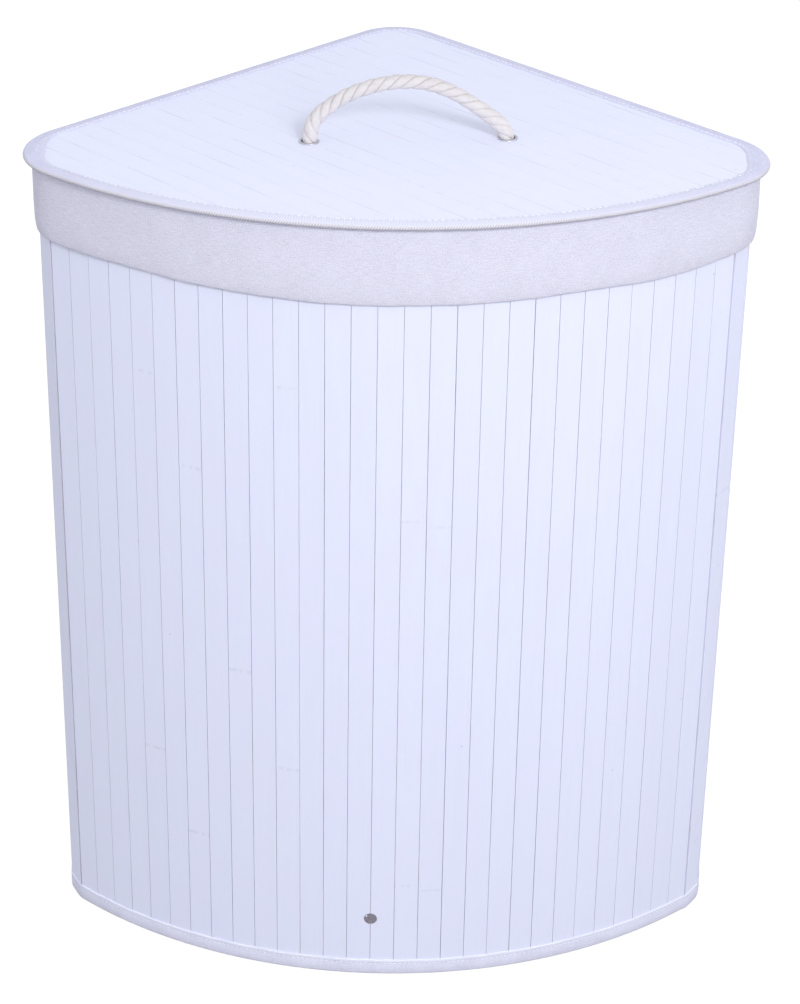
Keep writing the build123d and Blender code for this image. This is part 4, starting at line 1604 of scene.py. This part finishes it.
@dataclass
class Liner:
    """The cloth liner: a bag inside the basket, sewn to a cuff that is turned over the rim."""

    plan: Plan
    finishes: Finishes
    cloth: float = 0.7 * MM
    cuff_face: float = 3.85 * MM
    cuff_inside: float = -6.4 * MM
    bag_face: float = -7.4 * MM
    sewn_depth: float = 22.0 * MM
    hem_rise: float = 6.0 * MM
    hem_reach: float = 135.0 * MM
    hem_low: float = -15.0 * MM
    hem_sag: float = 3.6 * MM
    hem_sag_at: float = 200.0 * MM
    hem_sag_reach: float = 55.0 * MM
    bag_floor: float = 5.4 * MM
    slack: float = 7.0 * MM

    def cuff(self) -> bpy.types.Object:
        """Makes the cuff, with a turned-in hem and small waves along its lower edge."""
        low, high = (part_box("liner_cuff")[side][2] for side in (0, 1))
        face, inside, cloth = self.cuff_face, self.cuff_inside, self.cloth
        top = high - cloth / 2.0
        profile = [
            (inside, top - self.sewn_depth), (inside, top - 9.0 * MM), (inside + 0.2 * MM, top - 3.4 * MM),
            (inside + 1.3 * MM, top - 0.9 * MM), (inside + 3.2 * MM, top - 0.1 * MM), (face - 3.4 * MM, top),
            (face - 1.2 * MM, top - 0.3 * MM), (face - 0.2 * MM, top - 1.5 * MM), (face, top - 4.0 * MM),
            (face + 0.1 * MM, top - 18.0 * MM), (face + 0.15 * MM, low + 22.0 * MM), (face - 0.1 * MM, low + 9.0 * MM),
            (face - 0.6 * MM, low + 3.6 * MM), (face - 1.0 * MM, low + 1.4 * MM), (face - 1.6 * MM, low + 0.5 * MM),
            (face - 2.1 * MM, low + 1.3 * MM), (face - 2.1 * MM, low + 4.0 * MM), (face - 1.7 * MM, low + 13.0 * MM),
        ]
        bm = self.plan.sweep(profile, 2.6 * MM, False, 3)
        for vert in bm.verts:
            spot = self.plan.locate(vert.co)
            if spot.out < -2.0 * MM:
                continue
            drop = max(0.0, (top - vert.co.z) / (top - low))
            wave = self.plan.ripple(spot.distance, vert.co.z, 62.0 * MM, 90.0 * MM) * 0.75
            wave += self.plan.ripple(spot.distance, vert.co.z, 23.0 * MM, 30.0 * MM, 3.0) * 0.32
            wave += self.plan.ripple(spot.distance, vert.co.z, 8.0 * MM, 9.0 * MM, 6.0) * 0.10
            vert.co += spot.normal * max(-0.45, wave) * MM * (0.15 + drop)
            vert.co.z += self.plan.ripple(spot.distance, 0.0, 55.0 * MM, 1.0, 2.0) * 1.0 * MM * drop**2
            vert.co.z += self.plan.ripple(spot.distance, 0.0, 16.0 * MM, 1.0, 4.0) * 0.35 * MM * drop**2
            aside = min(spot.distance, self.plan.round - spot.distance)
            aside = aside - self.hem_low if spot.distance < self.plan.round / 2.0 else aside + self.hem_low
            rise = self.hem_rise * (1.0 - math.exp(-((aside / self.hem_reach) ** 2)))
            rise -= self.hem_sag * math.exp(-(((spot.distance - self.hem_sag_at) / self.hem_sag_reach) ** 2))
            vert.co.z += rise * drop
        bmesh.ops.solidify(bm, geom=bm.faces, thickness=cloth)
        bmesh.ops.recalc_face_normals(bm, faces=bm.faces)
        self.plan.unwrap(bm)
        cuff = new_object("liner_turnover", bm, self.finishes.linen)
        return set_down(cuff, Body.BASKET, Slot.LINER, ["liner_cuff"], 80.0)

    def bag(self) -> bpy.types.Object:
        """Makes the bag: a slack wall with soft folds, and a floor that lies on the base."""
        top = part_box("liner_bag")[1][2] - self.sewn_depth * 0.45
        face, floor = self.bag_face, self.bag_floor
        profile = [
            (face, top), (face, top * 0.9), (face - 0.6 * MM, top * 0.6), (face - 0.6 * MM, top * 0.3),
            (face, 0.06 * top), (face - 1.5 * MM, floor + 10.0 * MM), (face - 6.0 * MM, floor + 2.6 * MM),
            (face - 14.0 * MM, floor),
        ]
        bm = self.plan.sweep(profile, 5.0 * MM, False, 7)
        down = bm.verts.layers.float["down"]
        edge = [e for e in bm.edges if e.is_boundary and e.verts[0].co.z < floor + 0.5 * MM]
        middle = Vector((0.0, -0.02, 0.0))
        for share in (0.82, 0.78, 0.74, 0.68, 0.6, 0.5):
            row = extrude_row(bm, edge)
            edge = [e for e in row if isinstance(e, BMEdge)]
            verts = [v for v in row if isinstance(v, BMVert)]
            bmesh.ops.scale(bm, verts=verts, vec=(share, share, 1.0), space=Matrix.Translation(-middle))
        bmesh.ops.edgeloop_fill(bm, edges=edge)
        bmesh.ops.recalc_face_normals(bm, faces=bm.faces)
        moves = []
        for vert in bm.verts:
            spot = self.plan.locate(vert.co)
            share = vert.co.z / top
            loose = max(0.0, math.sin(math.pi * min(1.0, share))) ** 0.7
            fold = self.plan.ripple(spot.distance, vert.co.z, 48.0 * MM, 700.0 * MM, 1.0)
            fold += self.plan.ripple(spot.distance, vert.co.z, 120.0 * MM, 300.0 * MM, 8.0)
            fold += self.plan.ripple(spot.distance, vert.co.z, 20.0 * MM, 130.0 * MM, 5.0) * 0.35
            if vert.co.z > floor + 1.0 * MM:
                moves.append(spot.normal * -(0.9 + fold) * 0.5 * self.slack * loose)
            else:
                crumple = noise.noise(vert.co * 18.0) + noise.noise(vert.co * 45.0 + UP) * 0.5
                moves.append(UP * max(0.0, 0.5 + crumple) * 2.2 * MM)
        for vert, move in zip(bm.verts, moves):
            vert.co += move
        bmesh.ops.solidify(bm, geom=bm.faces, thickness=self.cloth)
        self.plan.unwrap(bm)
        uv = bm.loops.layers.uv[UV_NAME]
        bm.normal_update()
        for face in bm.faces:
            if abs(face.normal.z) > 0.7:
                for loop in face.loops:
                    loop[uv].uv = loop.vert.co.xy
        return set_down(new_object("liner_sack", bm, self.finishes.linen), Body.BASKET, Slot.LINER, ["liner_bag"], 80.0)

    def build(self) -> None:
        """Makes the cuff and the bag, and sews a row of stitches round the top of the bag."""
        cuff, bag = self.cuff(), self.bag()
        sewing = Sewing(self.finishes, 3.0 * MM, 4.2 * MM, 0.3 * MM, 9)
        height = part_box("liner_bag")[1][2] - self.sewn_depth * 0.45 - 4.0 * MM
        sewing.row(self.plan, self.bag_face - self.cloth * 0.5, height, "in", "liner_stitches", Body.BASKET)


@dataclass
class Lid:
    """The slatted lid: cloth under its slats, and a ribbed tape folded round its edge over a wire hoop."""

    plan: Plan
    finishes: Finishes
    stock: SlatStock
    tape: float = 1.0 * MM
    tape_width: float = 11.0 * MM
    corner_width: float = 4.5 * MM
    rib_pitch: float = 1.8 * MM
    rib_depth: float = 0.14 * MM
    rib_slant: float = 0.5
    nose_drop: float = 1.8 * MM
    nose_points: int = 7

    def slats(self, feet: Sequence[Vector]) -> None:
        """Cuts the slats and the cloth to the outline and bores the two eyelet holes."""
        low, high = (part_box("lid_slats")[side][2] for side in (0, 1))
        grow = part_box("lid_slats")[1][0] - self.plan.width / 2.0
        obj = new_object("lid_boards", SlatPanel(self.plan, self.stock).strips(grow, low, high, True), self.finishes.lid_slats)
        cloth_low, cloth_high = (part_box("lid_backing")[side][2] for side in (0, 1))
        cloth = new_object("lid_cloth", self.plan.slab(grow, cloth_low, cloth_high), self.finishes.backing)
        reach = 6.0 * MM
        bore = [(0.0, -reach), (reach, -reach), (reach, reach), (0.0, reach)]
        for piece in (obj, cloth):
            cut_away(piece, join(turned(bore, Matrix.Translation((f.x, f.y, low))) for f in feet))
        set_down(obj, Body.LID, Slot.SLATS, ["lid_slats"], 12.0)
        set_down(cloth, Body.LID, Slot.BACKING, ["lid_backing"])

    def binding(self) -> None:
        """Folds the ribbed tape round the lid's edge and sews it through from both sides."""
        low, high = (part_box("lid_binding")[side][2] for side in (0, 1))
        middle, radius = (low + high) / 2.0, (high - low) / 2.0
        lid_low, lid_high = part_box("lid_backing")[0][2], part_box("lid_slats")[1][2]
        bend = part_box("lid_binding")[1][0] - self.plan.width / 2.0 - radius
        inner = bend + radius - self.tape_width
        nose = []
        for index in range(self.nose_points):
            angle = math.pi * (0.5 - index / (self.nose_points - 1))
            nose.append((bend + math.cos(angle) * radius, middle + math.sin(angle) * self.nose_drop))
        profile = [
            (inner, lid_high + 0.05 * MM), (inner - 0.1 * MM, lid_high + 0.45 * MM), (inner + 0.5 * MM, high - 0.25 * MM),
            (inner + 1.5 * MM, high - 0.28 * MM), (inner + 2.4 * MM, high - 0.02 * MM), (inner + 5.0 * MM, high),
            *nose,
            (inner + 5.0 * MM, low), (inner + 2.0 * MM, low + 0.1 * MM), (inner + 0.2 * MM, low + 0.3 * MM),
            (inner, lid_low - 0.05 * MM), (bend - 1.0 * MM, lid_low - 0.05 * MM),
            (bend - 1.0 * MM, lid_high + 0.05 * MM),
        ]
        bm = self.plan.sweep(profile, self.rib_pitch / 4.0)
        bm.normal_update()
        count = round(self.plan.round / self.rib_pitch)
        rubbed = bm.verts.layers.float.new(TONE_NAME)
        groove = bm.verts.layers.float.new(GROOVE_SHADE_NAME)
        faded = bm.verts.layers.float.new(PALER_AT_FRONT_NAME)
        front = self.plan.stretches[0].length()
        down = bm.verts.layers.float["down"]
        moves = []
        for vert in bm.verts:
            spot = self.plan.locate(vert.co)
            vert[rubbed] = min(1.0, max(0.0, (spot.out - bend - 1.0 * MM) / (0.9 * MM)))
            turn = count * spot.distance / self.plan.round + self.rib_slant * vert[down] / self.rib_pitch
            rib = math.cos(2.0 * math.pi * turn)
            # marks the grooves between the ribs, where painted shade goes
            vert[groove] = 0.5 - 0.5 * rib
            aside = min(spot.distance, self.plan.round - spot.distance)
            # 1 along the front of the lid, falling to 0 towards the sides
            vert[faded] = min(1.0, max(0.0, 1.3 - 1.1 * aside / front))
            uneven = self.plan.ripple(spot.distance, vert.co.z, 7.0 * MM, 5.0 * MM, 3.0)
            shown = 1.0 if spot.out > bend - 2.5 * MM else 0.5
            move = vert.normal * (rib * shown + uneven * 0.7) * self.rib_depth
            if vert.co.z > middle:
                inward = max(0.0, (bend - spot.out) / (bend - inner))
                move -= spot.normal * self.corner_width * self.plan.cornered(spot.distance) * inward
                if spot.out < inner + 1.0 * MM:
                    move += spot.normal * self.plan.ripple(spot.distance, 0.0, 9.0 * MM, 1.0, 6.0) * 0.5 * MM
            moves.append(move)
        for vert, move in zip(bm.verts, moves):
            vert.co += move
        self.plan.unwrap(bm)
        set_down(new_object("lid_tape", bm, self.finishes.lid_tape), Body.LID, Slot.TAPE, ["lid_binding"], 70.0)
        sewing = Sewing(self.finishes)
        line = inner + 1.5 * MM
        sewing.row(self.plan, line, high - 0.22 * MM, "up", "lid_top_stitches", Body.LID)
        sewing.row(self.plan, line, low + 0.12 * MM, "down", "lid_under_stitches", Body.LID)

    def build(self, feet: Sequence[Vector]) -> None:
        """Makes the lid around the eyelets' middles."""
        self.slats(feet)
        self.binding()


def dress_hoops(finishes: Finishes) -> None:
    """Gives the two wire hoops, which keep the model's own shape, their coating."""
    for name in ("rim_wire", "lid_wire"):
        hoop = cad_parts[name]
        hoop.data.materials.clear()
        hoop.data.materials.append(finishes.wire)
        LOG.info("%s: coated", name)


def main() -> None:
    """Builds the hamper piece by piece."""
    logging.basicConfig(level=logging.INFO, format="%(name)s %(message)s")
    Studio().build()
    finishes = Finishes()
    plan = Plan()
    stock = SlatStock()
    feet = RopeHandle(finishes).build()
    Wall(plan, finishes, SlatStock(17.48 * MM)).build()
    Liner(plan, finishes).build()
    Lid(plan, finishes, stock).build(feet)
    dress_hoops(finishes)


if __name__ == "__main__":
    main()
